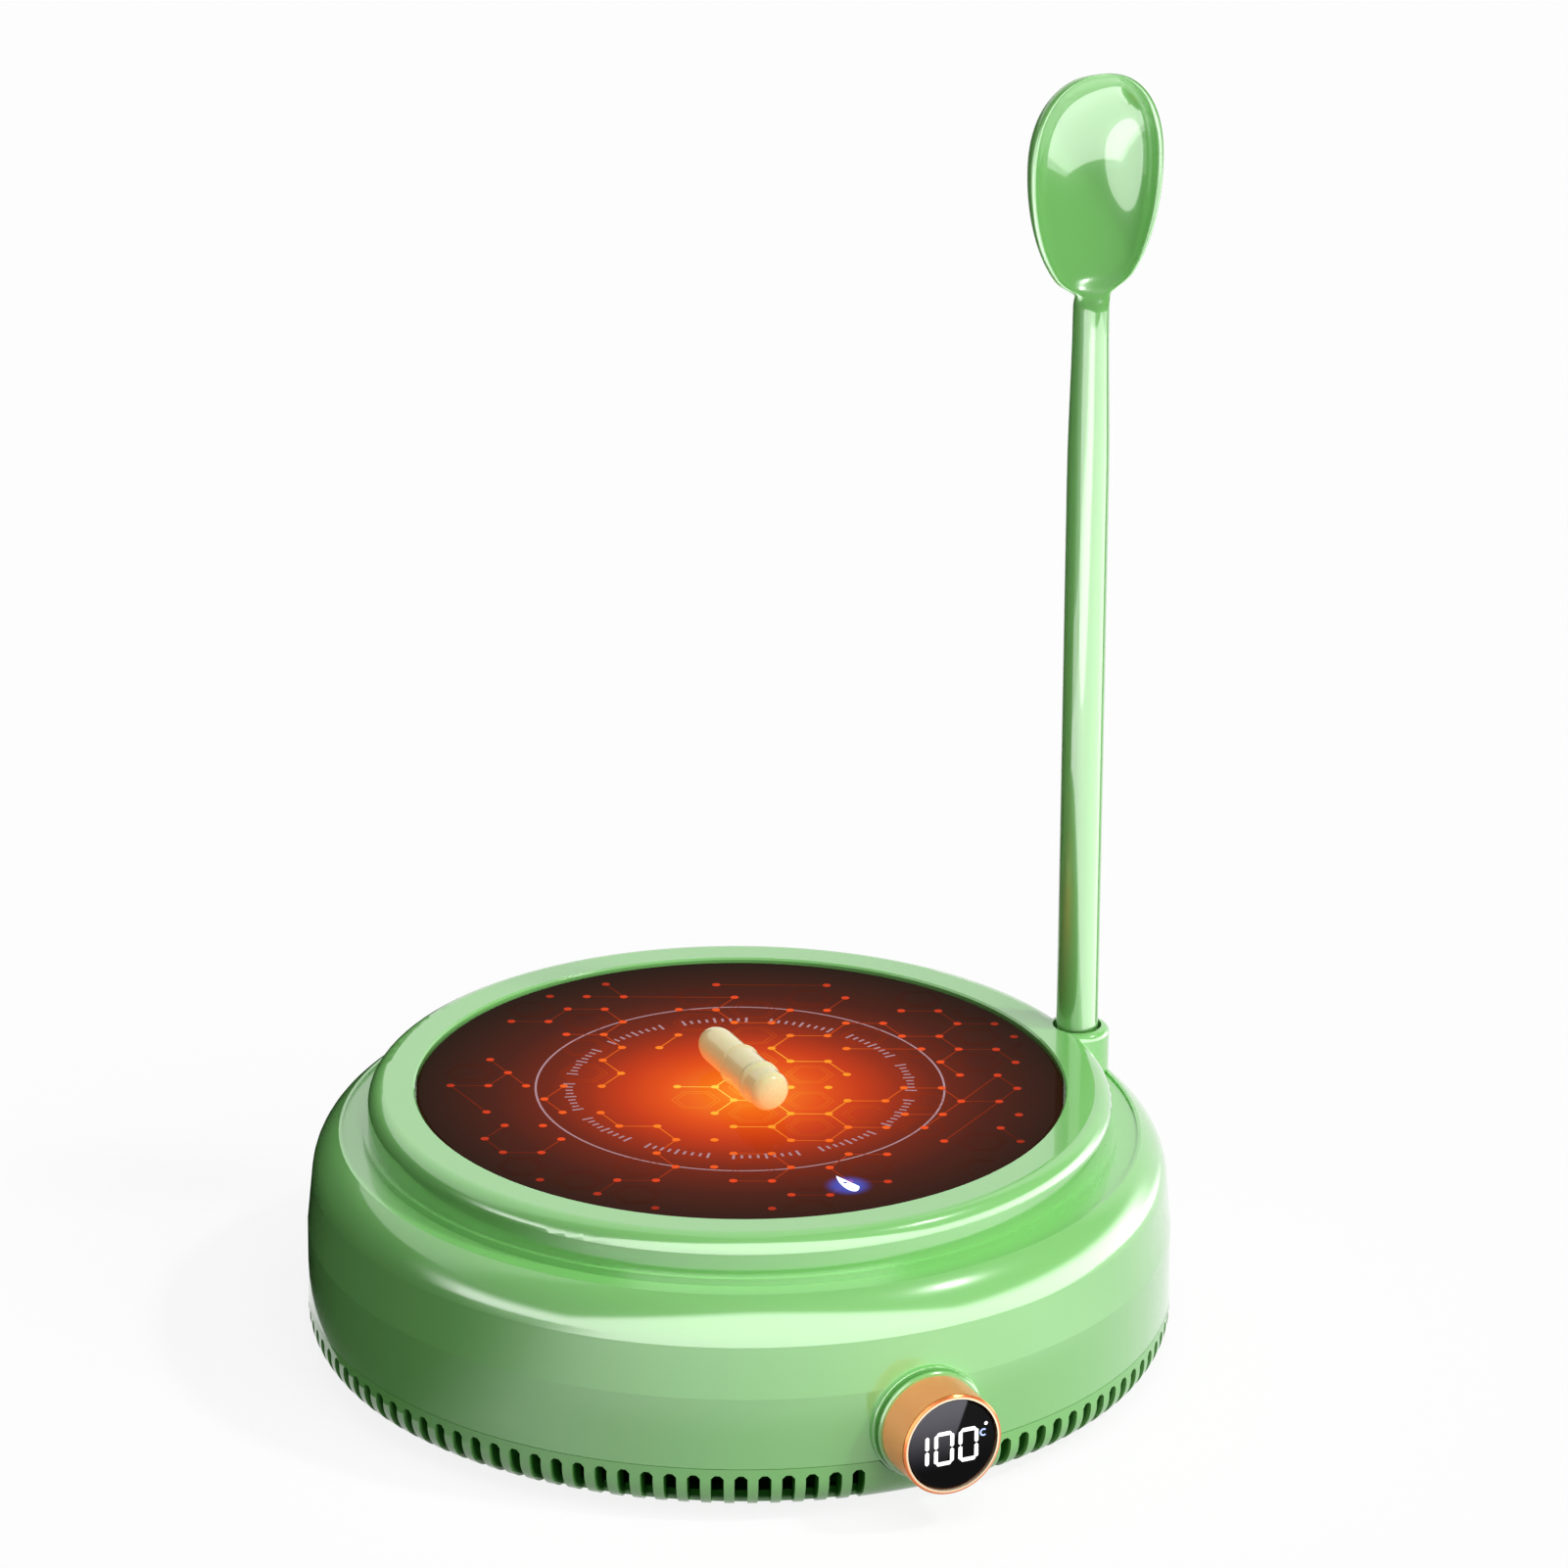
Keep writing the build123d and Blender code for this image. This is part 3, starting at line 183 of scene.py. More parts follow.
# ---- Material helpers --------------------------------------------------------------------------
def add_node(tree, kind, inputs=None, **settings):
    """New shader node: each of its inputs gets a plain value or the socket that feeds it."""
    node = tree.nodes.new("ShaderNode" + kind)
    for setting, value in settings.items():
        setattr(node, setting, value)
    for socket, value in (inputs or {}).items():
        if isinstance(value, bpy.types.NodeSocket):
            tree.links.new(value, node.inputs[socket])
        else:
            node.inputs[socket].default_value = value
    return node


def maths(tree, operation, *values):
    """A Math node's result; each value is a socket or a plain number."""
    return add_node(tree, "Math", dict(enumerate(values)), operation=operation).outputs[0]


def ranged(tree, value, low, high, start=0.0, end=1.0, curve="LINEAR"):
    """A value that goes from start to end while another goes from low to high."""
    inputs = {"Value": value, "From Min": low, "From Max": high, "To Min": start, "To Max": end}
    return add_node(tree, "MapRange", inputs, interpolation_type=curve).outputs[0]


def object_place(tree):
    """Place of the shaded point in its object's own coordinates."""
    return add_node(tree, "TexCoord").outputs["Object"]


def object_axes(tree):
    """That place as three outputs, X, Y and Z."""
    return add_node(tree, "SeparateXYZ", {0: object_place(tree)}).outputs


def distance_from_axis(tree, centre, axis=2):
    """Distance of the shaded point from a line through centre along one of the axes, in metres."""
    location = [-value for value in centre]
    scale = [1.0, 1.0, 1.0]
    location[axis] = scale[axis] = 0.0
    inputs = {"Vector": object_place(tree), "Location": location, "Scale": scale}
    across = add_node(tree, "Mapping", inputs).outputs[0]
    return add_node(tree, "VectorMath", {0: across}, operation="LENGTH").outputs["Value"]


def colour_ramp(tree, factor, stops):
    """Colour by a factor from nought to one; stops are (factor, linear colour)."""
    ramp = add_node(tree, "ValToRGB", {"Fac": factor})
    elements = ramp.color_ramp.elements
    while len(elements) < len(stops):
        elements.new(0.5)
    for element, (place, colour) in zip(elements, stops):
        element.position = place
        element.color = rgba(colour)
    return ramp.outputs["Color"]


def new_material(name, **constants):
    """A node material with one Principled shader; constants go on the shader's own sockets."""
    material = bpy.data.materials.new(name)
    material.use_nodes = True
    shader = material.node_tree.nodes["Principled BSDF"]
    for socket, value in constants.items():
        shader.inputs[socket.replace("_", " ")].default_value = value
    return material


def feed(material, socket, source):
    """Links a source into a socket of the material's shader."""
    tree = material.node_tree
    tree.links.new(source, tree.nodes["Principled BSDF"].inputs[socket])


def blend_towards(material, colour, factor):
    """Mixes a colour into the material's base colour by a factor."""
    tree = material.node_tree
    base = tree.nodes["Principled BSDF"].inputs["Base Color"].links[0].from_socket
    mix = add_node(tree, "Mix", {"Factor": factor, "A": base, "B": rgba(colour)}, data_type="RGBA")
    feed(material, "Base Color", mix.outputs["Result"])


def rgba(colour):
    return (*colour[:3], 1.0)


GRAIN_SOCKETS = (               # direction, kind and names of the grain group's sockets
    ("INPUT", "Color", ("Colour",)),
    ("INPUT", "Float", ("Cloud scale", "Ripple scale", "Variation", "Roughness", "Ripple")),
    ("INPUT", "Vector", ("Stretch",)),
    ("OUTPUT", "Color", ("Colour",)),
    ("OUTPUT", "Float", ("Roughness",)),
    ("OUTPUT", "Vector", ("Normal",)),
)


def grain_group():
    """Shared surface variation of moulded and turned parts: cloudy colour, roughness and a fine ripple."""
    if "surface_grain" in bpy.data.node_groups:
        return bpy.data.node_groups["surface_grain"]
    group = bpy.data.node_groups.new("surface_grain", "ShaderNodeTree")
    for way, kind, names in GRAIN_SOCKETS:
        for name in names:
            group.interface.new_socket(name, in_out=way, socket_type="NodeSocket" + kind)
    given = group.nodes.new("NodeGroupInput").outputs
    results = group.nodes.new("NodeGroupOutput").inputs
    place = add_node(group, "VectorMath", {0: object_place(group), 1: given["Stretch"]},
                     operation="MULTIPLY")
    cloud, ripple = (
        add_node(group, "TexNoise", {"Vector": place.outputs[0], "Scale": given[scale]}).outputs["Fac"]
        for scale in ("Cloud scale", "Ripple scale")
    )
    lowest = maths(group, "SUBTRACT", 1.0, given["Variation"])
    swing = ranged(group, cloud, 0.0, 1.0, 1.0, lowest)
    tint = add_node(group, "VectorMath", {0: given["Colour"], "Scale": swing}, operation="SCALE")
    bump = add_node(group, "Bump", {"Distance": MM, "Height": ripple, "Strength": given["Ripple"]})
    rough = maths(group, "MULTIPLY_ADD", cloud, given["Variation"], given["Roughness"])
    for result, source in (("Colour", tint.outputs[0]), ("Roughness", rough), ("Normal", bump.outputs[0])):
        group.links.new(source, results[result])
    return group


def grained(name, colour, roughness, variation, ripple, cloud=40.0, ripple_scale=2500.0,
            stretch=(1, 1, 1), **constants):
    """Material whose colour, roughness and normal come from the shared grain group."""
    material = new_material(name, **constants)
    inputs = {
        "Colour": rgba(colour), "Cloud scale": cloud, "Ripple scale": ripple_scale, "Variation": variation,
        "Roughness": roughness, "Ripple": ripple, "Stretch": stretch,
    }
    grain = add_node(material.node_tree, "Group", inputs, node_tree=grain_group())
    for socket, output in (("Base Color", "Colour"), ("Roughness", "Roughness"), ("Normal", "Normal")):
        feed(material, socket, grain.outputs[output])
    return material


def glowing(name, stops, centre=(0.0, 0.0, 0.0), **constants):
    """Material that glows by the distance from an upright axis; stops are (radius in mm, colour)."""
    material = new_material(name, Emission_Strength=1.0, **constants)
    tree = material.node_tree
    reach = stops[-1][0]
    share = maths(tree, "DIVIDE", distance_from_axis(tree, centre), reach * MM)
    stops = [(radius / reach, colour) for radius, colour in stops]
    feed(material, "Emission Color", colour_ramp(tree, share, stops))
    return material


def assign(node, material):
    NODES[node].data.materials.clear()
    NODES[node].data.materials.append(material)


# ---- Moulded shell -----------------------------------------------------------------------------
def shell_material():
    settings = bpy.context.scene.warmer_shell
    name = "glossy_green_plastic"
    if name in bpy.data.materials:
        return bpy.data.materials[name]
    return grained(name, settings.green, settings.roughness, variation=0.03, ripple=0.012,
                   Coat_Weight=settings.gloss, Coat_Roughness=0.04, Coat_IOR=1.7, Specular_IOR_Level=0.5)


RIM_ROUND = 5.5 * MM            # rounding at the foot of the pan's rim
RIM_MIDDLE_Z = PAN_LOW.z + RIM_ROUND
VENT_SHADE_START = 0.25 * MM           # depth below the rim's skin at which the painted shade inside the vents begins
VENT_SHADE_FULL = 0.9 * MM            # depth at which the painted shade inside the vents is full


def depth_below_rim(tree):
    """Depth below the rim's rounded skin: its radius less the distance from the round's middle circle."""
    lower = maths(tree, "MINIMUM", maths(tree, "SUBTRACT", object_axes(tree)["Z"], RIM_MIDDLE_Z), 0.0)
    across = maths(tree, "SUBTRACT", distance_from_axis(tree, (0, 0, 0)), BODY_RADIUS - RIM_ROUND)
    squares = maths(tree, "MULTIPLY_ADD", across, across, maths(tree, "MULTIPLY", lower, lower))
    return maths(tree, "SUBTRACT", RIM_ROUND, maths(tree, "SQRT", squares))


def vent_painted_shade_material():
    """The shell's gloss with painted shade inside the vent slots: darker, and without its coat, with depth
    below the rim.
    """
    settings = bpy.context.scene.warmer_shell
    material = shell_material().copy()
    material.name = "green_plastic_painted_vent_shade"
    tree = material.node_tree
    tree.nodes["Principled BSDF"].inputs["Specular IOR Level"].default_value = 0.0
    # Painted shade: with depth inside the slots, the base colour moves towards the vent shade and the coat
    # fades out
    painted_shade = ranged(tree, depth_below_rim(tree), VENT_SHADE_START, VENT_SHADE_FULL)
    blend_towards(material, settings.shade, painted_shade)
    feed(material, "Coat Weight", ranged(tree, painted_shade, 0.0, 1.0, settings.gloss, 0.0))
    return material


class WARMER_OT_shell(bpy.types.Operator):
    """Gives the moulded housing, lower pan and knob collar their glossy green finish"""
    bl_idname = "warmer.shell"
    bl_label = "Moulded shell"

    def execute(self, context):
        for node in ("housing", "knob_collar"):
            assign(node, shell_material())
        # The pan's vent slots get painted shade
        assign("base_pan", vent_painted_shade_material())
        return {"FINISHED"}


# ---- Heating plate -----------------------------------------------------------------------------
GLOW_CENTRE = (-0.5 * MM, -2.0 * MM, 0.0)
GLOW_STOPS = [                  # radius in mm, linear colour of the glow through the glass
    (0, (1.00, 0.27, 0.025)),
    (6, (0.94, 0.17, 0.010)),
    (13, (0.78, 0.078, 0.004)),
    (19, (0.57, 0.040, 0.003)),
    (25, (0.33, 0.024, 0.003)),
    (31, (0.165, 0.015, 0.003)),
    (40, (0.070, 0.009, 0.003)),
    (47, (0.037, 0.007, 0.002)),
    (53, (0.016, 0.004, 0.001)),
]
LINE_STOPS = [
    (0, (1.00, 0.80, 0.12)),
    (12, (1.00, 0.52, 0.05)),
    (20, (0.95, 0.20, 0.02)),
    (28, (0.60, 0.065, 0.015)),
    (40, (0.24, 0.030, 0.012)),
    (52, (0.07, 0.012, 0.007)),
]
DOT_STOPS = [
    (0, (1.00, 0.80, 0.10)),
    (14, (1.00, 0.42, 0.03)),
    (24, (1.00, 0.17, 0.02)),
    (36, (0.85, 0.075, 0.02)),
    (46, (0.55, 0.045, 0.018)),
    (52, (0.20, 0.022, 0.012)),
]
FAINT_STOPS = [
    (0, (1.00, 0.45, 0.05)),
    (14, (0.88, 0.17, 0.02)),
    (26, (0.42, 0.045, 0.012)),
    (38, (0.14, 0.020, 0.009)),
    (50, (0.045, 0.011, 0.006)),
]
LATTICE_TURN = math.radians(-24.8)
LATTICE_SHIFT = (1.9 * MM, -0.8 * MM)
CHAIN_SHARE, LINK_SHARE, DOT_SHARE = 0.58, 0.70, 0.88  # running shares of cells: chain, link, lone dot
CHAIN_EDGES, LINK_CELLS = (1, 5), (2, 5)  # ranges of whole numbers, their ends left out
HEART_SHARE = 0.7               # share of the chained cells that hold a double hexagon
HEXAGON_SHARES = (0.52, 0.64)   # sizes of the two hexagons over the cell's edge
CELL_MARGIN = 0.4               # in cell edges, between the last cells' middles and the plate's edge
PRINT_MARGIN = 1.5 * MM
DOT_CORNERS = 12
GUIDE_WIDTH, GUIDE_STEPS = 0.34 * MM, 180
TICK_GROUPS, TICKS_IN_GROUP = 12, 9
TICK_START, TICK_STEP = 3.2, 2.7  # degrees
TICK_LENGTH, LONG_TICK_LENGTH, LONG_TICK_EVERY = 1.2 * MM, 1.9 * MM, 4
TICK_WIDTH = 0.42 * MM
UNLIT = {"Base_Color": (0, 0, 0, 1), "Specular_IOR_Level": 0.0}


def lattice_cells(cell):
    """Middles of a honeycomb's cells that lie on the plate: whole steps along its two directions."""
    reach = int(GLASS_RADIUS / cell) + 1
    first, second = np.meshgrid(np.arange(-reach, reach + 1), np.arange(-reach, reach + 1))
    x = 1.5 * cell * (first + second)
    y = math.sqrt(3) / 2 * cell * (first - second)
    centres = np.column_stack([x.ravel(), y.ravel()])
    return centres[np.hypot(*centres.T) < GLASS_RADIUS - CELL_MARGIN * cell]


def turned(points):
    """Points turned and moved to the lattice's place on the plate."""
    c, s = math.cos(LATTICE_TURN), math.sin(LATTICE_TURN)
    return np.asarray(points) @ np.array([[c, s], [-s, c]]) + np.array(LATTICE_SHIFT)


def printable(outlines):
    """Those outlines that keep the print's margin from the plate's edge."""
    return [outline for outline in outlines if np.all(np.hypot(*outline.T) < GLASS_RADIUS - PRINT_MARGIN)]


def lattice_layout(settings):
    """Open chains along the cells' edges, long links across cells, and the corners where they end."""
    rng = np.random.default_rng(settings.seed)
    cell = settings.cell
    chains, corners, hearts = [], [], []
    for centre in lattice_cells(cell):
        drawn = rng.random()
        first = rng.integers(6)
        edges = rng.integers(*CHAIN_EDGES)
        ring = regular(centre, cell, 6)
        if drawn < CHAIN_SHARE:
            path = ring[(first + np.arange(edges + 1)) % 6]
            chains += [(path[i], path[i + 1]) for i in range(edges)]
            corners += list(path)
            if rng.random() < HEART_SHARE:
                hearts.append(centre)
        elif drawn < LINK_SHARE:
            heading = rng.integers(6) * np.pi / 3
            span = cell * rng.integers(*LINK_CELLS)
            start = ring[first]
            end = start + span * np.array([math.cos(heading), math.sin(heading)])
            chains.append((start, end))
            corners += [start, end]
        elif drawn < DOT_SHARE:
            corners.append(ring[first])
    return chains, corners, hearts


def make_lattice(settings):
    """Three flat prints on the glass: bright lines, dots, and thin double hexagons inside cells."""
    chains, corners, hearts = lattice_layout(settings)
    lines = [stroke(*turned(pair), settings.line) for pair in chains]
    dots = [regular(turned([corner])[0], settings.dot, DOT_CORNERS) for corner in corners]
    sides = []
    for heart in hearts:
        for share in HEXAGON_SHARES:
            ring = turned(regular(heart, settings.cell * share, 6))
            sides += [stroke(ring[i], ring[(i + 1) % 6], settings.line / 2) for i in range(6)]
    return printable(lines), printable(dots), printable(sides)


def make_marks(settings):
    """Pale guide ring and, inside it, groups of short radial marks."""
    ticks = []
    for group in range(TICK_GROUPS):
        for mark in range(TICKS_IN_GROUP):
            angle = math.radians(group * 360 / TICK_GROUPS + TICK_START + mark * TICK_STEP)
            ray = np.array([math.cos(angle), math.sin(angle)])
            length = TICK_LENGTH if mark % LONG_TICK_EVERY else LONG_TICK_LENGTH
            inner = ray * (settings.tick_radius - length / 2)
            ticks.append(stroke(inner, inner + ray * length, TICK_WIDTH))
    return band(settings.guide_radius, GUIDE_WIDTH, GUIDE_STEPS), ticks


MOON_HALF = np.array([0.80, -2.55]) * MM        # half of the moon's straight side
MOON_DEPTH = np.array([-1.30, -3.10]) * MM      # from the straight side to the far point of its arc
MOON_HOLE = np.array([-0.60, -0.35]) * MM
MOON_HOLE_RADIUS = 0.34 * MM
MOON_ARC_POINTS, MOON_SIDE_POINTS = 24, 10
HALO_RADIUS = 4.6 * MM
HALO_START, HALO_END = 0.28, 0.95  # shares of its radius between which the halo fades
HALO_ALPHA = 0.62
HALO_COLOUR = (0.085, 0.14, 0.75, 1)
HALO_RINGS, HALO_STEPS = 6, 36


def touch_icon():
    """Half moon with a small round hole, as quads between the hole and the outline.

    The outline is half * cos t + depth * sin t for t from 0 to pi, and the straight side back to its start.
    """
    t = np.linspace(0, np.pi, MOON_ARC_POINTS)[:, None]
    arc = MOON_HALF * np.cos(t) + MOON_DEPTH * np.sin(t)
    share = np.linspace(0, 1, MOON_SIDE_POINTS)[1:-1, None]
    outline = np.concatenate([arc, arc[-1] * (1 - share) + arc[0] * share])
    ray = outline - MOON_HOLE
    hole = MOON_HOLE + MOON_HOLE_RADIUS * ray / np.hypot(*ray.T)[:, None]
    outer, inner = np.roll(outline, -1, 0), np.roll(hole, -1, 0)
    return [np.stack(corners) for corners in zip(hole, inner, outer, outline)]


def add_print(name, outlines, material, layer):
    """Flat print on the glass, so many lifts above it."""
    points, faces = flat_polygons(outlines, GLASS_TOP + layer * PRINT_LIFT)
    add_piece(name, points, faces, material, "base", False)


def halo_material(centre):
    """Blue light that fades out evenly between the touch mark and the halo's edge."""
    material = new_material("touch_mark_halo", Emission_Color=HALO_COLOUR, Emission_Strength=1.0, **UNLIT)
    tree = material.node_tree
    radius = distance_from_axis(tree, (*centre, 0.0))
    start, end = HALO_RADIUS * HALO_START, HALO_RADIUS * HALO_END
    feed(material, "Alpha", ranged(tree, radius, start, end, HALO_ALPHA, 0.0, "SMOOTHERSTEP"))
    return material


class WARMER_OT_plate(bpy.types.Operator):
    """Finishes the dark glass and adds its glow, lattice print, guide ring and short marks"""
    bl_idname = "warmer.plate"
    bl_label = "Heating plate"

    def execute(self, context):
        settings = context.scene.warmer_plate
        assign("glass_plate", glowing(
            "glowing_ceramic_glass", GLOW_STOPS, GLOW_CENTRE, Base_Color=rgba(settings.glass), Roughness=0.3,
            Specular_IOR_Level=0.0, Coat_Weight=0.06, Coat_Roughness=0.02))
        bright = glowing("lattice_glow", LINE_STOPS, **UNLIT)
        dotted = glowing("lattice_dot_glow", DOT_STOPS, **UNLIT)
        faint = glowing("faint_hexagon_glow", FAINT_STOPS, **UNLIT)
        pale = new_material("pale_print", Base_Color=(0.14, 0.09, 0.11, 1), Roughness=0.4,
                            Emission_Color=(0.30, 0.12, 0.14, 1), Emission_Strength=0.7)
        lines, dots, hexagons = make_lattice(settings)
        rings, ticks = make_marks(settings)
        for name, outlines, material, layer in (
            ("lattice_lines", lines, bright, 1),
            ("lattice_dots", dots, dotted, 2),
            ("lattice_hexagons", hexagons, faint, 1),
            ("guide_ring", rings, pale, 1),
            ("tick_marks", ticks, pale, 2),
        ):
            add_print(name, outlines, material, layer)
        return {"FINISHED"}


class WARMER_OT_touch_mark(bpy.types.Operator):
    """Adds the lit touch mark near the front of the glass"""
    bl_idname = "warmer.touch_mark"
    bl_label = "Touch mark"

    def execute(self, context):
        pad_low, pad_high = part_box("touch_pad")
        centre = np.array([(pad_low.x + pad_high.x) / 2, (pad_low.y + pad_high.y) / 2])
        lit = new_material("touch_mark_light", Base_Color=(0.6, 0.7, 1, 1),
                           Emission_Color=(0.75, 0.86, 1.0, 1), Emission_Strength=1.3)
        add_print("touch_mark", [outline + centre for outline in touch_icon()], lit, 4)
        middle = centre + MOON_DEPTH / 2
        shares = np.arange(0.5, HALO_RINGS) / HALO_RINGS
        rings = [band(HALO_RADIUS * share, HALO_RADIUS / HALO_RINGS, HALO_STEPS) for share in shares]
        add_print("touch_halo", [quad + middle for ring in rings for quad in ring], halo_material(middle), 3)
        return {"FINISHED"}


# ---- Stirring bar ------------------------------------------------------------------------------
BAR_CAP = 4.6 * MM              # length of the rounded end
BAR_REAR_RADIUS, BAR_FRONT_RADIUS = 3.05 * MM, 3.28 * MM
RIB_WIDTH, RIB_RISE, RIB_PLACE = 0.55 * MM, 0.30 * MM, 0.4 * MM
COLLAR_WIDTH, COLLAR_RISE, COLLAR_PLACE = 1.7 * MM, 0.32 * MM, -7.4 * MM
BAR_BEVEL, BAR_FACE_RADIUS = 1.3 * MM, 2.35 * MM
BAR_STEPS, CAP_ROWS, BODY_ROWS = 64, 18, 130  # steps round the bar, rows along its round end and the rest
BAR_POLE = 0.02                 # the innermost ring's radius over the face's


def swelling(along, middle, width, rise):
    """Raised ring: rise times the root of 1 - t^2, with t the distance from its middle in half widths."""
    return rise * np.clip(1 - ((along - middle) / (width / 2)) ** 2, 0, None) ** 0.5


def bar_profile(half):
    """Radius along the bar: a half ellipse, two cylinders with a thin rib and a collar, then a bevel."""
    cap = half - BAR_CAP + BAR_CAP * np.cos(np.linspace(0, np.pi / 2, CAP_ROWS))
    body = np.linspace(half - BAR_CAP, -half + BAR_BEVEL, BODY_ROWS)[1:]
    along = np.concatenate([cap, body, [-half, -half]])
    radius = np.where(along > RIB_PLACE, BAR_REAR_RADIUS, BAR_FRONT_RADIUS)
    over = np.clip((along - half + BAR_CAP) / BAR_CAP, 0, 1)
    radius = radius * np.sqrt(1 - over ** 2)
    radius += swelling(along, RIB_PLACE, RIB_WIDTH, RIB_RISE)
    radius += swelling(along, COLLAR_PLACE, COLLAR_WIDTH, COLLAR_RISE)
    radius[-2:] = BAR_FACE_RADIUS, BAR_FACE_RADIUS * BAR_POLE
    return along, radius


def bar_surface():
    """Surface of revolution about the bar's own axis, which lies along Y: (r cos t, y, z + r sin t)."""
    along, radius = bar_profile((BAR_HIGH.y - BAR_LOW.y) / 2)
    turn = np.linspace(0, 2 * np.pi, BAR_STEPS, endpoint=False)
    x = radius[:, None] * np.cos(turn)
    z = radius[:, None] * np.sin(turn) + (BAR_LOW.z + BAR_HIGH.z) / 2
    y = np.broadcast_to(along[:, None] + (BAR_LOW.y + BAR_HIGH.y) / 2, x.shape)
    return np.stack([x, y, z], -1)


def bar_coat_with_painted_glow():
    """Waxy coat, pale on top, with a painted glow: orange emission on its underside, fading to almost none at
    the top, stands in for the plate's light on it.
    """
    coat = grained("waxy_bar_coat_painted_underglow", (0.66, 0.63, 0.34), 0.2, variation=0.04, ripple=0.01,
                   Subsurface_Weight=0.3, Subsurface_Scale=1.5 * MM, Coat_Weight=0.6, Emission_Strength=0.8)
    tree = coat.node_tree
    height = ranged(tree, object_axes(tree)["Z"], BAR_LOW.z, BAR_HIGH.z)
    # Painted glow: orange emission low on the bar and almost none at its top, in place of the plate's light
    # falling on its underside
    glow = [(0.0, (1.0, 0.36, 0.10)), (1.0, (0.04, 0.03, 0.0))]
    feed(coat, "Emission Color", colour_ramp(tree, height, glow))
    return coat


class WARMER_OT_stir_bar(bpy.types.Operator):
    """Makes the waxy stirring bar with its rounded end, thin rib, collar and bevelled face"""
    bl_idname = "warmer.stir_bar"
    bl_label = "Stirring bar"

    def execute(self, context):
        points, faces = closed_tube(bar_surface())
        piece = add_piece("stir_bar_coat", points, faces, bar_coat_with_painted_glow(), "stirrer")
        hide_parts("stir_bar")
        return {"FINISHED"}


# ---- Spoon -------------------------------------------------------------------------------------
HANDLE_RADIUS = 3.43 * MM
NECK_RADIUS = 2.95 * MM
TAPER_START, TAPER_END = 140.0 * MM, 168.0 * MM
FOOT_ROUND = 1.7 * MM
BOWL_LENGTH = 37.0 * MM
BOWL_UPPER = 15.4 * MM          # from the widest place up to the tip
CROWN_POWER, HEEL_POWER = 2.25, 2.05
BOWL_WALL = 1.1 * MM
BOWL_DEPTH = 7.2 * MM
BOWL_RIM_Y = -1.0 * MM
DEPTH_POWER = 1.6               # makes the bowl shallower towards the neck and the tip
WALL_GAIN = 3.0                 # how soon the wall reaches its full thickness from there
BLEND_BELOW, BLEND_ABOVE = 2.0 * MM, 3.2 * MM
SIDE_COUNT, LIP_COUNT = 40, 8   # points along a side of the bowl's strip and round its lip
FOOT_ROWS, SHAFT_ROWS, NECK_ROWS, CROWN_ROWS = 7, 32, 60, 34


def smooth_step(value, low, high):
    """Nought below low, one above high, 3t^2 - 2t^3 between."""
    t = np.clip((value - low) / (high - low), 0, 1)
    return t * t * (3 - 2 * t)


def soft_larger(first, second):
    """Cube root of the sum of cubes: close to the larger of two lengths."""
    return np.cbrt(first ** 3 + second ** 3)


def section_angles():
    """Angle round the bowl's half ellipse and angle round the lip, for each point of a section."""
    lip = np.arange(1, LIP_COUNT) / LIP_COUNT * np.pi
    side = np.linspace(0, np.pi, SIDE_COUNT)
    along = np.concatenate([side, np.full(lip.size, np.pi), side[::-1], np.zeros(lip.size)])
    over = np.concatenate([np.zeros(side.size), lip, np.full(side.size, np.pi), np.pi + lip])
    return along, over


def spoon_heights(foot, bottom, widest, tip):
    """Heights of the sections: even along the handle, closer round the foot, the neck and the tip."""
    heel = foot + FOOT_ROUND * (1 - np.cos(np.linspace(0, np.pi / 2, FOOT_ROWS)))
    shaft = np.linspace(foot + FOOT_ROUND, bottom - BLEND_BELOW, SHAFT_ROWS)[1:]
    neck = np.linspace(bottom - BLEND_BELOW, widest, NECK_ROWS)[1:]
    crown = widest + (tip - widest) * np.sin(np.linspace(0, np.pi / 2, CROWN_ROWS))[1:]
    return np.concatenate([heel, shaft, neck, crown])


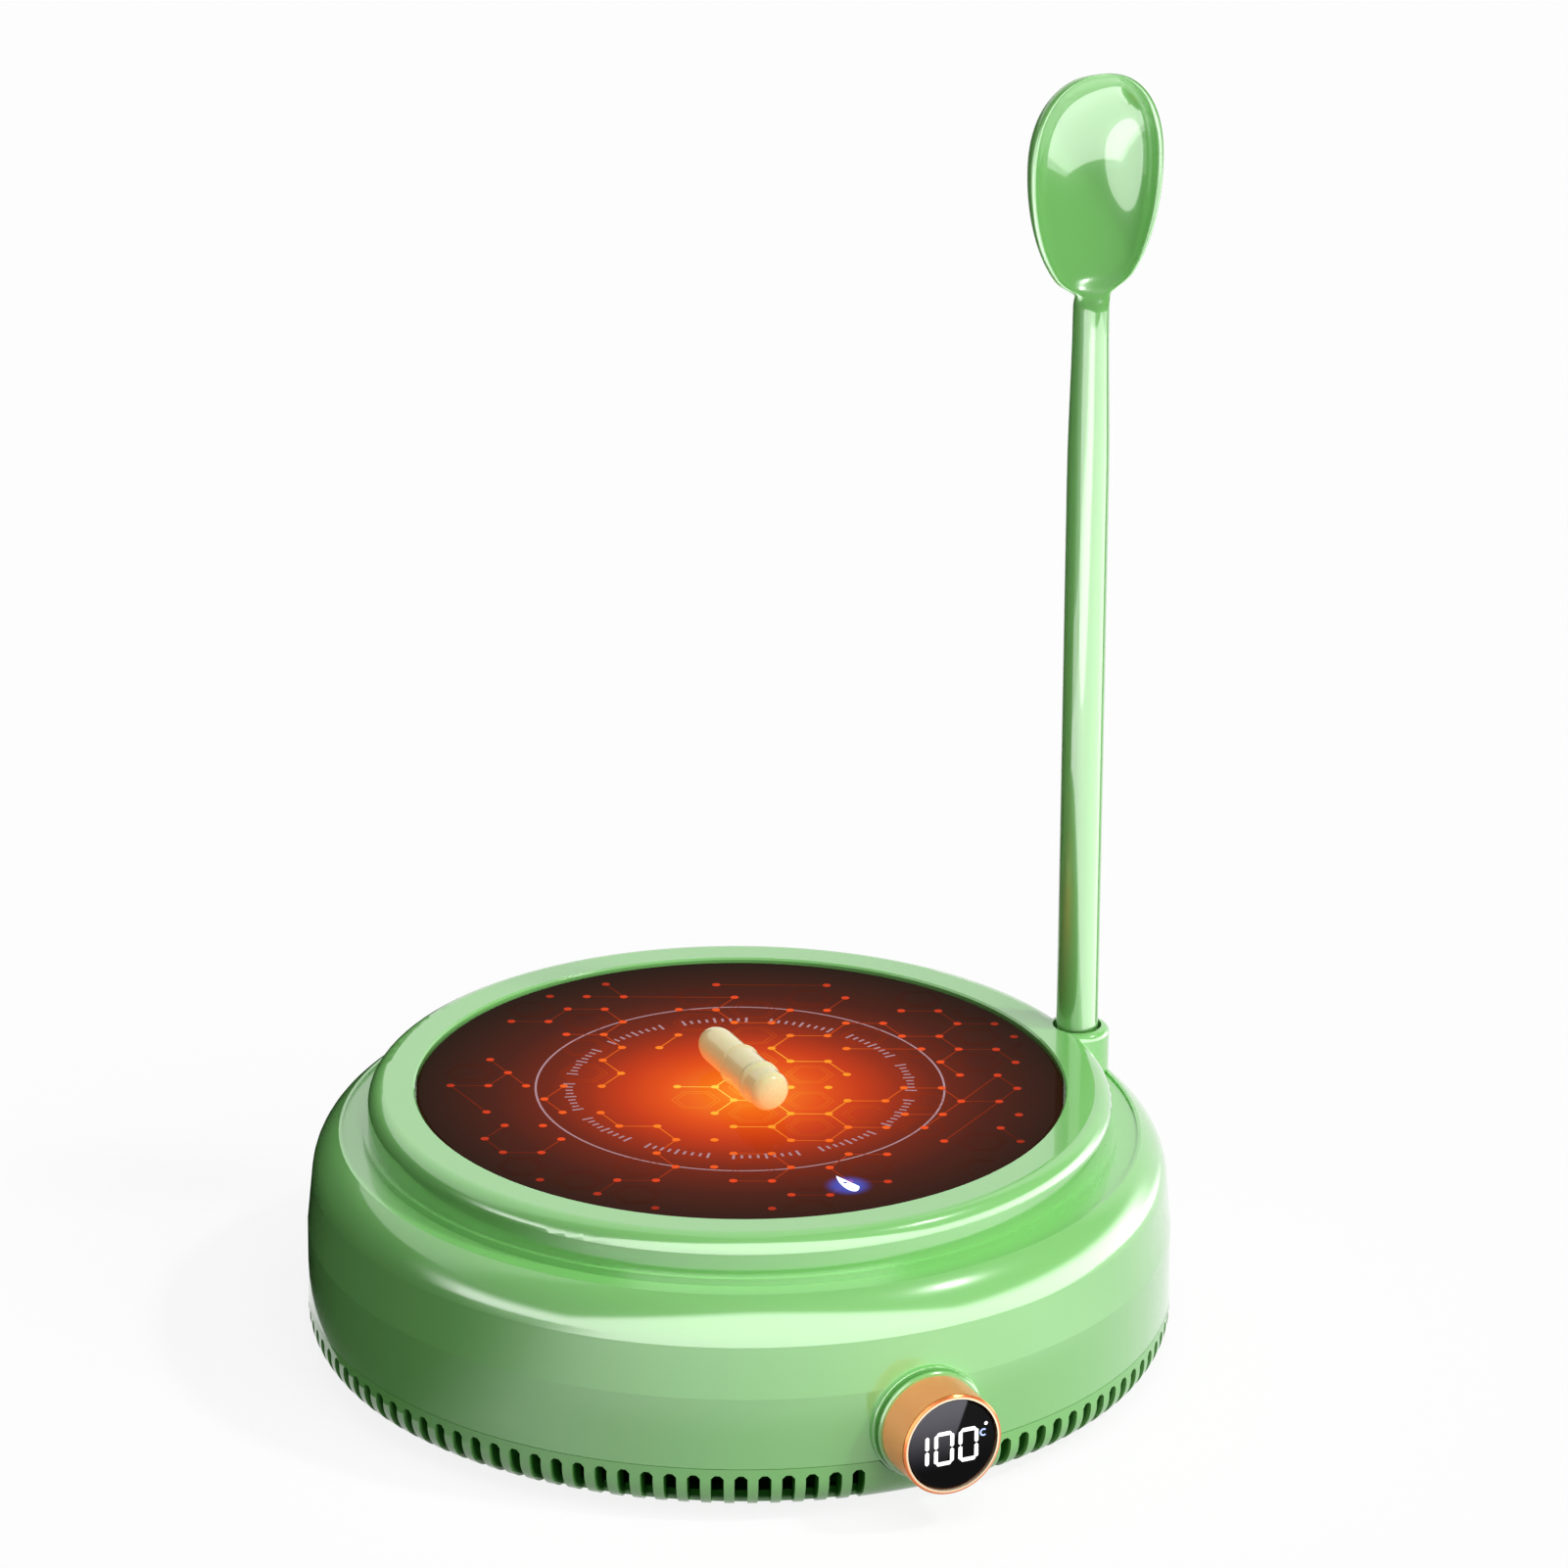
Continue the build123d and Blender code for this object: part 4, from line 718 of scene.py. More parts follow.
def spoon_surface(axis_x, foot, tip):
    """Sections across a spoon that stands on its handle.

    The handle's section is a circle of radius r(z). The bowl's is a strip along the half ellipse
    (W cos a, y + D sin a), half the wall to each side of it, with round lips. W(z) follows an egg,
    (1 - |t|^p)^(1/p), with a fuller power p above its widest place, and D(z) a power of that egg.
    Both stay as wide as the neck near it. A smooth step in z turns one section into the other there.
    """
    widest = tip - BOWL_UPPER
    bottom = tip - BOWL_LENGTH
    z = spoon_heights(foot, bottom, widest, tip)[:, None]
    along, over = section_angles()
    heel = np.clip(1 - (z - foot) / FOOT_ROUND, 0, 1)
    radius = HANDLE_RADIUS - (HANDLE_RADIUS - NECK_RADIUS) * smooth_step(z, TAPER_START, TAPER_END)
    radius = radius - FOOT_ROUND * (1 - np.sqrt(1 - heel ** 2))
    reach = np.where(z > widest, BOWL_UPPER, BOWL_LENGTH - BOWL_UPPER)
    power = np.where(z > widest, CROWN_POWER, HEEL_POWER)
    egg = np.clip(1 - np.abs((z - widest) / reach) ** power, 0, 1) ** (1 / power)
    blend = smooth_step(z, bottom - BLEND_BELOW, bottom + BLEND_ABOVE)
    waist = np.where(z > widest, 0, NECK_RADIUS * (1 - smooth_step(z, bottom, widest)))
    half_width = soft_larger((SPOON_HIGH.x - SPOON_LOW.x) / 2 * egg, waist) - BOWL_WALL / 2 * egg
    depth = soft_larger(BOWL_DEPTH * egg ** DEPTH_POWER, waist / 2) - BOWL_WALL / 2 * egg
    half_wall = BOWL_WALL / 2 * np.minimum(1, WALL_GAIN * egg)
    tangent = np.stack([-half_width * np.sin(along), depth * np.cos(along)])
    tangent /= np.maximum(np.hypot(*tangent), 1e-9)
    bowl_x = half_width * np.cos(along) + half_wall * (tangent[1] * np.cos(over) + tangent[0] * np.sin(over))
    bowl_y = depth * np.sin(along) + half_wall * (-tangent[0] * np.cos(over) + tangent[1] * np.sin(over))
    turn = np.arange(along.size) * 2 * np.pi / along.size
    x = axis_x + (1 - blend) * radius * np.cos(turn) + blend * bowl_x
    y = (1 - blend) * radius * np.sin(turn) + blend * (BOWL_RIM_Y + bowl_y)
    return np.stack([x, y, np.broadcast_to(z, x.shape)], -1)


def closed_tube(sections):
    """Points and faces of a tube through rings of points, closed at both ends by a middle point."""
    rows, columns = sections.shape[:2]
    points = np.concatenate([sections.reshape(-1, 3), sections[:1].mean(1), sections[-1:].mean(1)])
    faces = grid_faces(rows, columns, True).tolist()
    start, end = rows * columns, rows * columns + 1
    last = (rows - 1) * columns
    for column in range(columns):
        following = (column + 1) % columns
        faces.append([start, following, column])
        faces.append([end, last + column, last + following])
    return points, faces


class WARMER_OT_spoon(bpy.types.Operator):
    """Makes the spoon: a round handle that flows into an egg-shaped bowl with a rounded lip"""
    bl_idname = "warmer.spoon"
    bl_label = "Spoon"

    def execute(self, context):
        axis_x = (SPOON_LOW.x + SPOON_HIGH.x) / 2
        points, faces = closed_tube(spoon_surface(axis_x, SPOON_LOW.z, SPOON_HIGH.z))
        piece = add_piece("spoon_moulding", points, faces, shell_material(), "spoon")
        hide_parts("spoon")
        return {"FINISHED"}


# ---- Knob and display --------------------------------------------------------------------------
SEGMENT_ENDS = {                # (from, to) in halves of the figure's width and height
    "top": ((-1, 1), (1, 1)),
    "upper_left": ((-1, 1), (-1, 0)),
    "upper_right": ((1, 1), (1, 0)),
    "lower_left": ((-1, 0), (-1, -1)),
    "lower_right": ((1, 0), (1, -1)),
    "bottom": ((-1, -1), (1, -1)),
}
FIGURES = {
    "0": ("top", "upper_left", "upper_right", "lower_left", "lower_right", "bottom"),
    "1": ("upper_right", "lower_right"),
}
FIGURE_PLACES = (("1", -5.75), ("0", -1.45), ("0", 2.75))  # each figure's middle, in mm across
FIGURE_HALF_WIDTH = 1.38 * MM
FIGURE_MARGIN = 0.4 * MM        # taken off half the figures' height for the stroke
FIGURE_DROP = 0.39 * MM
STROKE_WIDTH, STROKE_GAP, STROKE_POINT = 0.66 * MM, 0.07 * MM, 0.42
DEGREE_DOT, DEGREE_DOT_RADIUS = (5.75 * MM, 2.62 * MM), 0.30 * MM
DEGREE_LETTER, LETTER_RADIUS, LETTER_WIDTH = (5.35 * MM, 1.15 * MM), 0.52 * MM, 0.26 * MM
LETTER_START, LETTER_SWEEP = math.radians(50), math.radians(260)
DEGREE_DOT_CORNERS, LETTER_STEPS = 16, 12


def segment(start, end):
    """Bar with pointed ends: six corners round a stroke that stops a gap short of both joints."""
    along, side = along_and_side(start, end, STROKE_WIDTH)
    start, end = start + along * STROKE_GAP, end - along * STROKE_GAP
    point = along * STROKE_WIDTH * STROKE_POINT
    return np.stack([start, start + point + side, end - point + side, end, end - point - side,
                     start + point - side])


def display_outlines(settings):
    """The figures 1 0 0 as polygons across and up from the lens's middle."""
    half = np.array([FIGURE_HALF_WIDTH, settings.digit_height / 2 - FIGURE_MARGIN])
    outlines = []
    for name, middle in FIGURE_PLACES:
        centre = np.array([middle * MM, -FIGURE_DROP])
        outlines += [segment(*(np.array(SEGMENT_ENDS[part]) * half + centre)) for part in FIGURES[name]]
    return outlines


def degree_outlines():
    """A small round dot and an open ring as the degree mark's letter."""
    dot = regular(DEGREE_DOT, DEGREE_DOT_RADIUS, DEGREE_DOT_CORNERS)
    letter = band(LETTER_RADIUS, LETTER_WIDTH, LETTER_STEPS, LETTER_START, LETTER_SWEEP)
    return [dot], [outline + np.array(DEGREE_LETTER) for outline in letter]


def add_on_lens(name, outlines, material):
    """Flat print on the lens: across is +X, up is +Z, and the face looks along -Y."""
    points, faces = flat_polygons(outlines, 0.0)
    level = np.full(len(points), LENS_LOW.y - PRINT_LIFT)
    placed = np.column_stack([points[:, 0], level, points[:, 1] + LENS_CENTRE_Z])
    add_piece(name, placed, faces, material, "display_core", False)


RIM_LINE_RADIUS = 8.02 * MM     # where the rim's pale line ends and its orange edge begins
RIM_LINE_BLUR = 0.12 * MM
RIM_EDGE = (0.80, 0.20, 0.045)


def rim_material(settings):
    """Bright rim with a pale inner line and a burnt orange outer edge."""
    rim = grained("bright_cut_rim", settings.rim, 0.16, variation=0.05, ripple=0.02, Metallic=0.5)
    tree = rim.node_tree
    radius = distance_from_axis(tree, (0, 0, LENS_CENTRE_Z), axis=1)
    step = ranged(tree, radius, RIM_LINE_RADIUS - RIM_LINE_BLUR, RIM_LINE_RADIUS + RIM_LINE_BLUR)
    blend_towards(rim, RIM_EDGE, step)
    return rim


PAINTED_REFLECTION_SLANT = 0.36              # lean of the painted reflection's edge: across over up
PAINTED_REFLECTION_BLUR = 0.18 * MM
PAINTED_REFLECTION_FOOT = 0.6                # share of the lens's radius below its middle where the painted reflection begins


def lens_material():
    """Black display glass with a painted reflection: a faint grey emission over the side away from the degree
    mark.
    """
    lens = new_material("black_display_glass", Base_Color=(0.001, 0.001, 0.0015, 1), Roughness=0.05,
                        Specular_IOR_Level=0.06, Emission_Strength=1.0)
    tree = lens.node_tree
    axes = object_axes(tree)
    slant = maths(tree, "MULTIPLY", maths(tree, "SUBTRACT", axes["Z"], LENS_CENTRE_Z), PAINTED_REFLECTION_SLANT)
    edge = ranged(tree, maths(tree, "SUBTRACT", slant, axes["X"]), -PAINTED_REFLECTION_BLUR, PAINTED_REFLECTION_BLUR)
    foot, top = LENS_CENTRE_Z - PAINTED_REFLECTION_FOOT * LENS_RADIUS, LENS_CENTRE_Z + LENS_RADIUS
    rise = ranged(tree, axes["Z"], foot, top, curve="SMOOTHSTEP")
    # Painted reflection: a faint grey emission with a slanted edge, rising towards the lens's top
    painted_reflection = [(0.0, (0, 0, 0)), (1.0, (0.125, 0.12, 0.14))]
    feed(lens, "Emission Color", colour_ramp(tree, maths(tree, "MULTIPLY", edge, rise), painted_reflection))
    return lens


class WARMER_OT_knob(bpy.types.Operator):
    """Finishes the copper-coloured sleeve and its bright rim"""
    bl_idname = "warmer.knob"
    bl_label = "Knob"

    def execute(self, context):
        settings = context.scene.warmer_knob
        copper = grained("turned_copper_finish", settings.copper, 0.34, cloud=60.0, ripple_scale=900.0,
                         variation=0.08, ripple=0.05, stretch=(0.3, 6, 0.3), Metallic=0.2, Coat_Weight=0.1)
        assign("knob_sleeve", copper)
        assign("knob_trim", rim_material(settings))
        return {"FINISHED"}


class WARMER_OT_display(bpy.types.Operator):
    """Finishes the black lens and adds its lit figures"""
    bl_idname = "warmer.display"
    bl_label = "Display"

    def execute(self, context):
        assign("display_lens", lens_material())
        white = new_material("figure_light", Base_Color=(0.9, 0.9, 0.9, 1),
                             Emission_Color=(1, 1, 1, 1), Emission_Strength=1.0)
        blue = new_material("degree_light", Base_Color=(0.3, 0.4, 0.8, 1),
                            Emission_Color=(0.35, 0.45, 0.85, 1), Emission_Strength=1.0)
        dot, letter = degree_outlines()
        add_on_lens("display_figures", display_outlines(context.scene.warmer_knob), white)
        add_on_lens("degree_dot", dot, white)
        add_on_lens("degree_letter", letter, blue)
        return {"FINISHED"}


# ---- Parts inside and below --------------------------------------------------------------------
INNER_FINISHES = {              # colour, roughness, metallic, nodes
    "black_rubber": ((0.020, 0.020, 0.020), 0.65, 0.0, ("foot_ring", "motor_mount", "inlet_bush")),
    "grey_silicone": ((0.30, 0.30, 0.30), 0.5, 0.0, ("glass_gasket", "socket_liner")),
    "zinc_steel": ((0.52, 0.52, 0.54), 0.32, 0.9, (
        "base_screws", "bracket_screws", "board_screws", "motor_shaft", "stem_clip", "heater_bracket",
        "stir_motor")),
    "rolled_aluminium": ((0.78, 0.78, 0.79), 0.3, 0.95, (
        "spreader_plate", "thermal_fuse", "mains_capacitor")),
    "heater_mica": ((0.45, 0.33, 0.20), 0.55, 0.0, ("heater_element",)),
    "needled_felt": ((0.72, 0.69, 0.62), 0.9, 0.0, ("insulation_disc",)),
    "black_component": ((0.025, 0.025, 0.028), 0.45, 0.0, (
        "temperature_sensor", "power_relay", "knob_encoder", "display_carrier", "push_switch", "touch_pad")),
    "white_component": ((0.72, 0.72, 0.70), 0.45, 0.0, ("rotor_disc", "board_header")),
    "board_resin": ((0.015, 0.13, 0.05), 0.35, 0.0, (
        "main_board", "control_board", "touch_board", "display_board")),
    "nickel_plate": ((0.62, 0.60, 0.57), 0.15, 0.95, ("rotor_magnets", "stir_bar_magnet")),
    "plain_brass": ((0.62, 0.42, 0.14), 0.25, 0.95, ("encoder_nut",)),
}


class WARMER_OT_inner_parts(bpy.types.Operator):
    """Finishes the parts that sit inside and below the shell"""
    bl_idname = "warmer.inner_parts"
    bl_label = "Inner parts"

    def execute(self, context):
        for name, (colour, roughness, metal, nodes) in INNER_FINISHES.items():
            material = grained(name, colour, roughness, cloud=150.0, ripple_scale=3000.0, variation=0.12,
                               ripple=0.08, Metallic=metal)
            for node in nodes:
                assign(node, material)
        return {"FINISHED"}


# ---- Stage -------------------------------------------------------------------------------------
PICTURE_SIZE = 1601             # pixels along each side of the picture
FOCAL_PIXELS = 9500.0           # distance of the picture plane, in the same pixels
AIM_PIXEL = (755.65, 1110.35)   # where the middle of the glass plate falls
CAMERA_DISTANCE = 1.503
CAMERA_AZIMUTH = math.radians(-24.8)
CAMERA_ELEVATION = math.radians(23.58)
CAMERA_ROLL = math.radians(0.41)
SENSOR_MM = 36.0
LAMPS = {                       # azimuth from +X, elevation and width in degrees, strength
    "key": (-38.0, 50.0, 6.0, 1.1),
    "front_fill": (-60.0, 17.0, 55.0, 1.95),
    "top_fill": (-97.0, 66.0, 40.0, 1.2),
    "back_fill": (100.0, 8.0, 60.0, 1.1),
}
SCREEN_PROFILE = (              # dark screen: distance from the middle, height, and where its veil fades
    (0.078, 0.0004, 182, 218), (0.20, 0.0004, 182, 218), (0.32, 0.0004, 172, 200),
    (0.44, 0.04, 158, 180), (0.50, 0.12, 150, 176), (0.52, 0.26, 150, 176),
)
SCREEN_AZIMUTHS = (80.0, 220.0)  # in degrees from +X
TENT_RADIUS = 0.9
TENT_AZIMUTHS = (152.0, 384.0)
TENT_MIDDLE = 252.0             # azimuth at which the tent's lit part reaches highest
TENT_LOW, TENT_HIGH = 12.0, 48.0  # elevation that the lit part reaches far from its middle and at it
TENT_SPREAD = 50.0              # degrees from the middle over which that height falls
TENT_TOP = 84                   # degrees
TENT_BLUR = (4, 8)              # degrees below and above its reach over which the lit part ends
TENT_BRIGHT, TENT_DIM = 4.8, 0.3
MAT_AZIMUTHS = (195.0, 384.0)   # bright mat on the floor in front
MAT_RADII = (0.100, 0.112, 0.190, 0.205)  # where the glow starts, is full, ends, and the tent's light is full
MAT_FAR = (0.3, 0.5, 0.9)       # radii of the mat's last rings
MAT_HEM = 0.01                  # width of the mat inside the glow's start
MAT_GLOW = ((195, 0.0), (230, 0.5), (262, 0.6), (290, 0.8), (310, 0.8), (335, 0.1), (384, 0.0))
MAT_HEIGHT = 0.0006
PANEL_FADE = 22.0               # degrees over which a panel thins out at its ends
SCREEN_STEPS, TENT_STEPS, MAT_STEPS, MAT_RINGS = 57, 90, 90, 24
CARDS = (                       # name, azimuth, elevation and distance from its piece, size, power, shape
    ("spoon_card", -68.0, -28.6, 0.376, (0.70, 0.60), 2.4, "RECTANGLE"),
    ("spoon_gloss", -66.0, -28.1, 0.370, (0.80, 0.60), 3.3, "RECTANGLE"),
    ("bowl_gloss", -125.0, -20.0, 0.20, (0.26, 0.175), 0.40, "ELLIPSE"),
    ("knob_card", -165.0, 25.0, 0.25, (0.16, 0.16), 0.36, "RECTANGLE"),
)
LEVEL_CARD_BELOW = -25.0        # cards at a lower elevation lie level, and the others face their piece
CLIP_START, CLIP_END = 0.05, 20.0
FLOOR_WHITE, FLOOR_BOUNCE, FLOOR_GLOW = 0.92, 0.30, 0.86
FLOOR_RADIUS, FLOOR_TURNS, FLOOR_RINGS = 4.0, 64, 12
FLOOR_POLE = 0.001              # the innermost ring's radius over the floor's


def direction(azimuth, elevation):
    """Unit vector from the middle towards an azimuth about +Z from +X and an elevation."""
    level = math.cos(elevation)
    return Vector((math.cos(azimuth) * level, math.sin(azimuth) * level, math.sin(elevation)))


def camera_matrix():
    """Camera pose that puts the plate's middle on its pixel, from the chosen side, height and roll."""
    target = Vector((0, 0, GLASS_TOP))
    away = direction(CAMERA_AZIMUTH - math.pi / 2, CAMERA_ELEVATION)
    half = PICTURE_SIZE / 2
    seen = Vector((AIM_PIXEL[0] - half, half - AIM_PIXEL[1], FOCAL_PIXELS)).normalized()
    c, s = math.cos(CAMERA_ROLL), math.sin(CAMERA_ROLL)
    across, up, ahead = seen.x * c - seen.y * s, seen.x * s + seen.y * c, seen.z
    look = -away
    pitch = math.asin(look.z / math.hypot(up, ahead)) - math.atan2(up, ahead)
    level = ahead * math.cos(pitch) - up * math.sin(pitch)
    heading = math.atan2(look.y, look.x) + math.atan2(across, level)
    forward = direction(heading, pitch)
    right = direction(heading - math.pi / 2, 0)
    top = right.cross(forward)
    rolled_right, rolled_top = right * c + top * s, top * c - right * s
    rotation = Matrix((rolled_right, rolled_top, -forward)).transposed()
    return Matrix.Translation(target + away * CAMERA_DISTANCE) @ rotation.to_4x4()


def add_camera():
    camera = bpy.data.cameras.new("camera")
    camera.sensor_width = SENSOR_MM
    camera.lens = FOCAL_PIXELS / PICTURE_SIZE * SENSOR_MM
    camera.clip_start, camera.clip_end = CLIP_START, CLIP_END
    holder = linked("camera", camera)
    holder.matrix_world = camera_matrix()
    bpy.context.scene.camera = holder


def add_lamp(name, kind, towards, middle, distance, energy):
    """Lamp at a distance from a middle, facing back along the direction that leads to it."""
    lamp = bpy.data.lights.new(name, kind)
    lamp.energy = energy
    holder = linked(name, lamp)
    holder.location = Vector(middle) + towards * distance
    holder.rotation_euler = towards.to_track_quat("Z", "Y").to_euler()
    return holder


def add_sun(name, factor):
    """Soft lamp that shines on the plate from a direction; only the key lamp shows in gloss."""
    azimuth, elevation, width, strength = LAMPS[name]
    towards = direction(math.radians(azimuth), math.radians(elevation))
    sun = add_lamp(name, "SUN", towards, (0, 0, GLASS_TOP), 1.0, strength * factor)
    sun.data.angle = math.radians(width)
    sun.visible_glossy = name == "key"
    return sun


def add_card(card, pieces, middle, factor):
    """Small flat lamp that reaches only these pieces; one that is named a gloss lights only their gloss."""
    name, azimuth, elevation, distance, size, power, shape = card
    towards = direction(math.radians(azimuth), math.radians(elevation))
    holder = add_lamp(name, "AREA", towards, middle, distance, power * factor)
    holder.data.shape = shape
    holder.data.size, holder.data.size_y = size
    if elevation < LEVEL_CARD_BELOW:
        holder.rotation_euler = Vector((0, 0, -1)).to_track_quat("Z", "Y").to_euler()
    holder.visible_camera = False
    holder.visible_diffuse = not name.endswith("gloss")
    link_light(holder, pieces, "INCLUDE")


def link_light(lamp, pieces, state):
    """INCLUDE lets a lamp reach only these pieces, and EXCLUDE lets it reach all the others."""
    group = bpy.data.collections.new(lamp.name + "_reach")
    for piece in pieces:
        group.objects.link(piece)
    for entry in group.collection_objects:
        entry.light_linking.link_state = state
    lamp.light_linking.receiver_collection = group


def bare_material(name):
    """Material without its usual shader, and its output's surface socket."""
    material = bpy.data.materials.new(name)
    material.use_nodes = True
    material.node_tree.nodes.clear()
    return material, add_node(material.node_tree, "OutputMaterial").inputs["Surface"]


def mixed(tree, factor, first, second):
    """Mix of two shaders: all of the second where the factor is one."""
    return add_node(tree, "MixShader", {0: factor, 1: first.outputs[0], 2: second.outputs[0]})


def panel_material():
    """Sheet whose point values say how bright it is and how much of it is there."""
    if "studio_panel" in bpy.data.materials:
        return bpy.data.materials["studio_panel"]
    material, surface = bare_material("studio_panel")
    tree = material.node_tree
    light, veil = (
        add_node(tree, "Attribute", attribute_name=key).outputs["Fac"] for key in ("light", "veil")
    )
    shine = add_node(tree, "Emission", {"Strength": light})
    sheet = mixed(tree, veil, add_node(tree, "BsdfTransparent"), shine)
    tree.links.new(sheet.outputs[0], surface)
    return material


def add_panel(name, surface, light, veil):
    """Stage sheet that only glossy faces see; light and veil are given for each point of its grid."""
    rows, columns = surface.shape[:2]
    panel = mesh_object(name, surface.reshape(-1, 3), grid_faces(rows, columns, False), panel_material())
    for key, values in (("light", light), ("veil", veil)):
        spread = np.broadcast_to(values, (rows, columns)).astype(np.float32)
        panel.data.attributes.new(key, "FLOAT", "POINT").data.foreach_set("value", spread.ravel())
    panel.visible_camera = panel.visible_diffuse = panel.visible_transmission = panel.visible_shadow = False
    return panel


def carried_round(turns, reach, height):
    """Profile carried round the upright axis: (reach cos a, reach sin a, height), with a in degrees."""
    angle = np.radians(turns)
    x, y = reach * np.cos(angle), reach * np.sin(angle)
    return np.stack([x, y, np.broadcast_to(height, x.shape)], -1)


def add_screen():
    """Dark screen low beside the object, thinning out towards the front."""
    turns = np.linspace(*SCREEN_AZIMUTHS, SCREEN_STEPS)
    reach, height, start, end = np.array(SCREEN_PROFILE).T[:, :, None]
    surface = carried_round(turns, reach, height)
    add_panel("dark_screen", surface, 0.0, 1 - smooth_step(turns, start, end))


def thinning(turns, start, end):
    """Veil of a panel: rises from nothing at its start and falls to nothing at its end."""
    return smooth_step(turns, start, start + PANEL_FADE) * (1 - smooth_step(turns, end - PANEL_FADE, end))


def add_tent():
    """Lit wall of a light tent: part of a sphere, bright up to an elevation that falls off to both sides."""
    turns, rise = np.linspace(*TENT_AZIMUTHS, TENT_STEPS), np.linspace(0, TENT_TOP, TENT_TOP + 1)[:, None]
    lift = np.radians(rise)
    surface = carried_round(turns, TENT_RADIUS * np.cos(lift), TENT_RADIUS * np.sin(lift))
    swell = np.cos(np.clip((turns - TENT_MIDDLE) / TENT_SPREAD, -1, 1) * np.pi / 2)
    reach = TENT_LOW + (TENT_HIGH - TENT_LOW) * swell
    shade = smooth_step(rise, reach - TENT_BLUR[0], reach + TENT_BLUR[1])
    light = TENT_DIM + (TENT_BRIGHT - TENT_DIM) * (1 - shade)
    return add_panel("light_tent", surface, light, thinning(turns, *TENT_AZIMUTHS))


def add_mat():
    """Ring sector on the floor, with a soft glow near the object and the tent's light further out."""
    turns = np.linspace(*MAT_AZIMUTHS, MAT_STEPS)
    start, full, end, bright = MAT_RADII
    radius = np.concatenate([[start - MAT_HEM], np.linspace(start, bright, MAT_RINGS), MAT_FAR])[:, None]
    surface = carried_round(turns, radius, MAT_HEIGHT)
    glow = np.interp(turns, *np.array(MAT_GLOW).T) * smooth_step(radius, start, full)
    light = 1 + glow + (TENT_BRIGHT - 1 - glow) * smooth_step(radius, end, bright)
    return add_panel("bright_mat", surface, light, thinning(turns, *MAT_AZIMUTHS))


def seen_directly(tree):
    """One for rays from the camera, from gloss or through glass, else nought."""
    rays = add_node(tree, "LightPath").outputs
    seen = maths(tree, "MAXIMUM", rays["Is Camera Ray"], rays["Is Glossy Ray"])
    return maths(tree, "MAXIMUM", seen, rays["Is Transmission Ray"])


def white_world(strength):
    """White where it is seen directly, and dimmer for the light that it gives from all round."""
    world = bpy.data.worlds.new("studio")
    world.use_nodes = True
    tree = world.node_tree
    background = tree.nodes["Background"]
    background.inputs["Color"].default_value = (1, 1, 1, 1)
    tree.links.new(ranged(tree, seen_directly(tree), 0.0, 1.0, strength, 1.0), background.inputs["Strength"])
    bpy.context.scene.world = world


def floor_material():
    """White to the eye with a faint shadow, and greyer for the light that it throws back up."""
    material, surface = bare_material("pale_floor")
    tree = material.node_tree
    matt, bounce = (
        add_node(tree, "BsdfDiffuse", {"Color": rgba([level] * 3)}) for level in (FLOOR_WHITE, FLOOR_BOUNCE)
    )
    white = mixed(tree, FLOOR_GLOW, matt, add_node(tree, "Emission"))
    tree.links.new(mixed(tree, seen_directly(tree), bounce, white).outputs[0], surface)
    return material


def add_floor():
    """Level disc of quads from the middle out: radius times the cosine and sine of even angles."""
    turns = np.arange(FLOOR_TURNS) * 360 / FLOOR_TURNS
    radius = FLOOR_RADIUS * np.linspace(FLOOR_POLE, 1, FLOOR_RINGS)
    points = carried_round(turns, radius[:, None], 0.0).reshape(-1, 3)
    faces = [*grid_faces(FLOOR_RINGS, FLOOR_TURNS, True)[:, ::-1], range(FLOOR_TURNS)]
    floor = mesh_object("floor", points, faces, floor_material())
    return floor


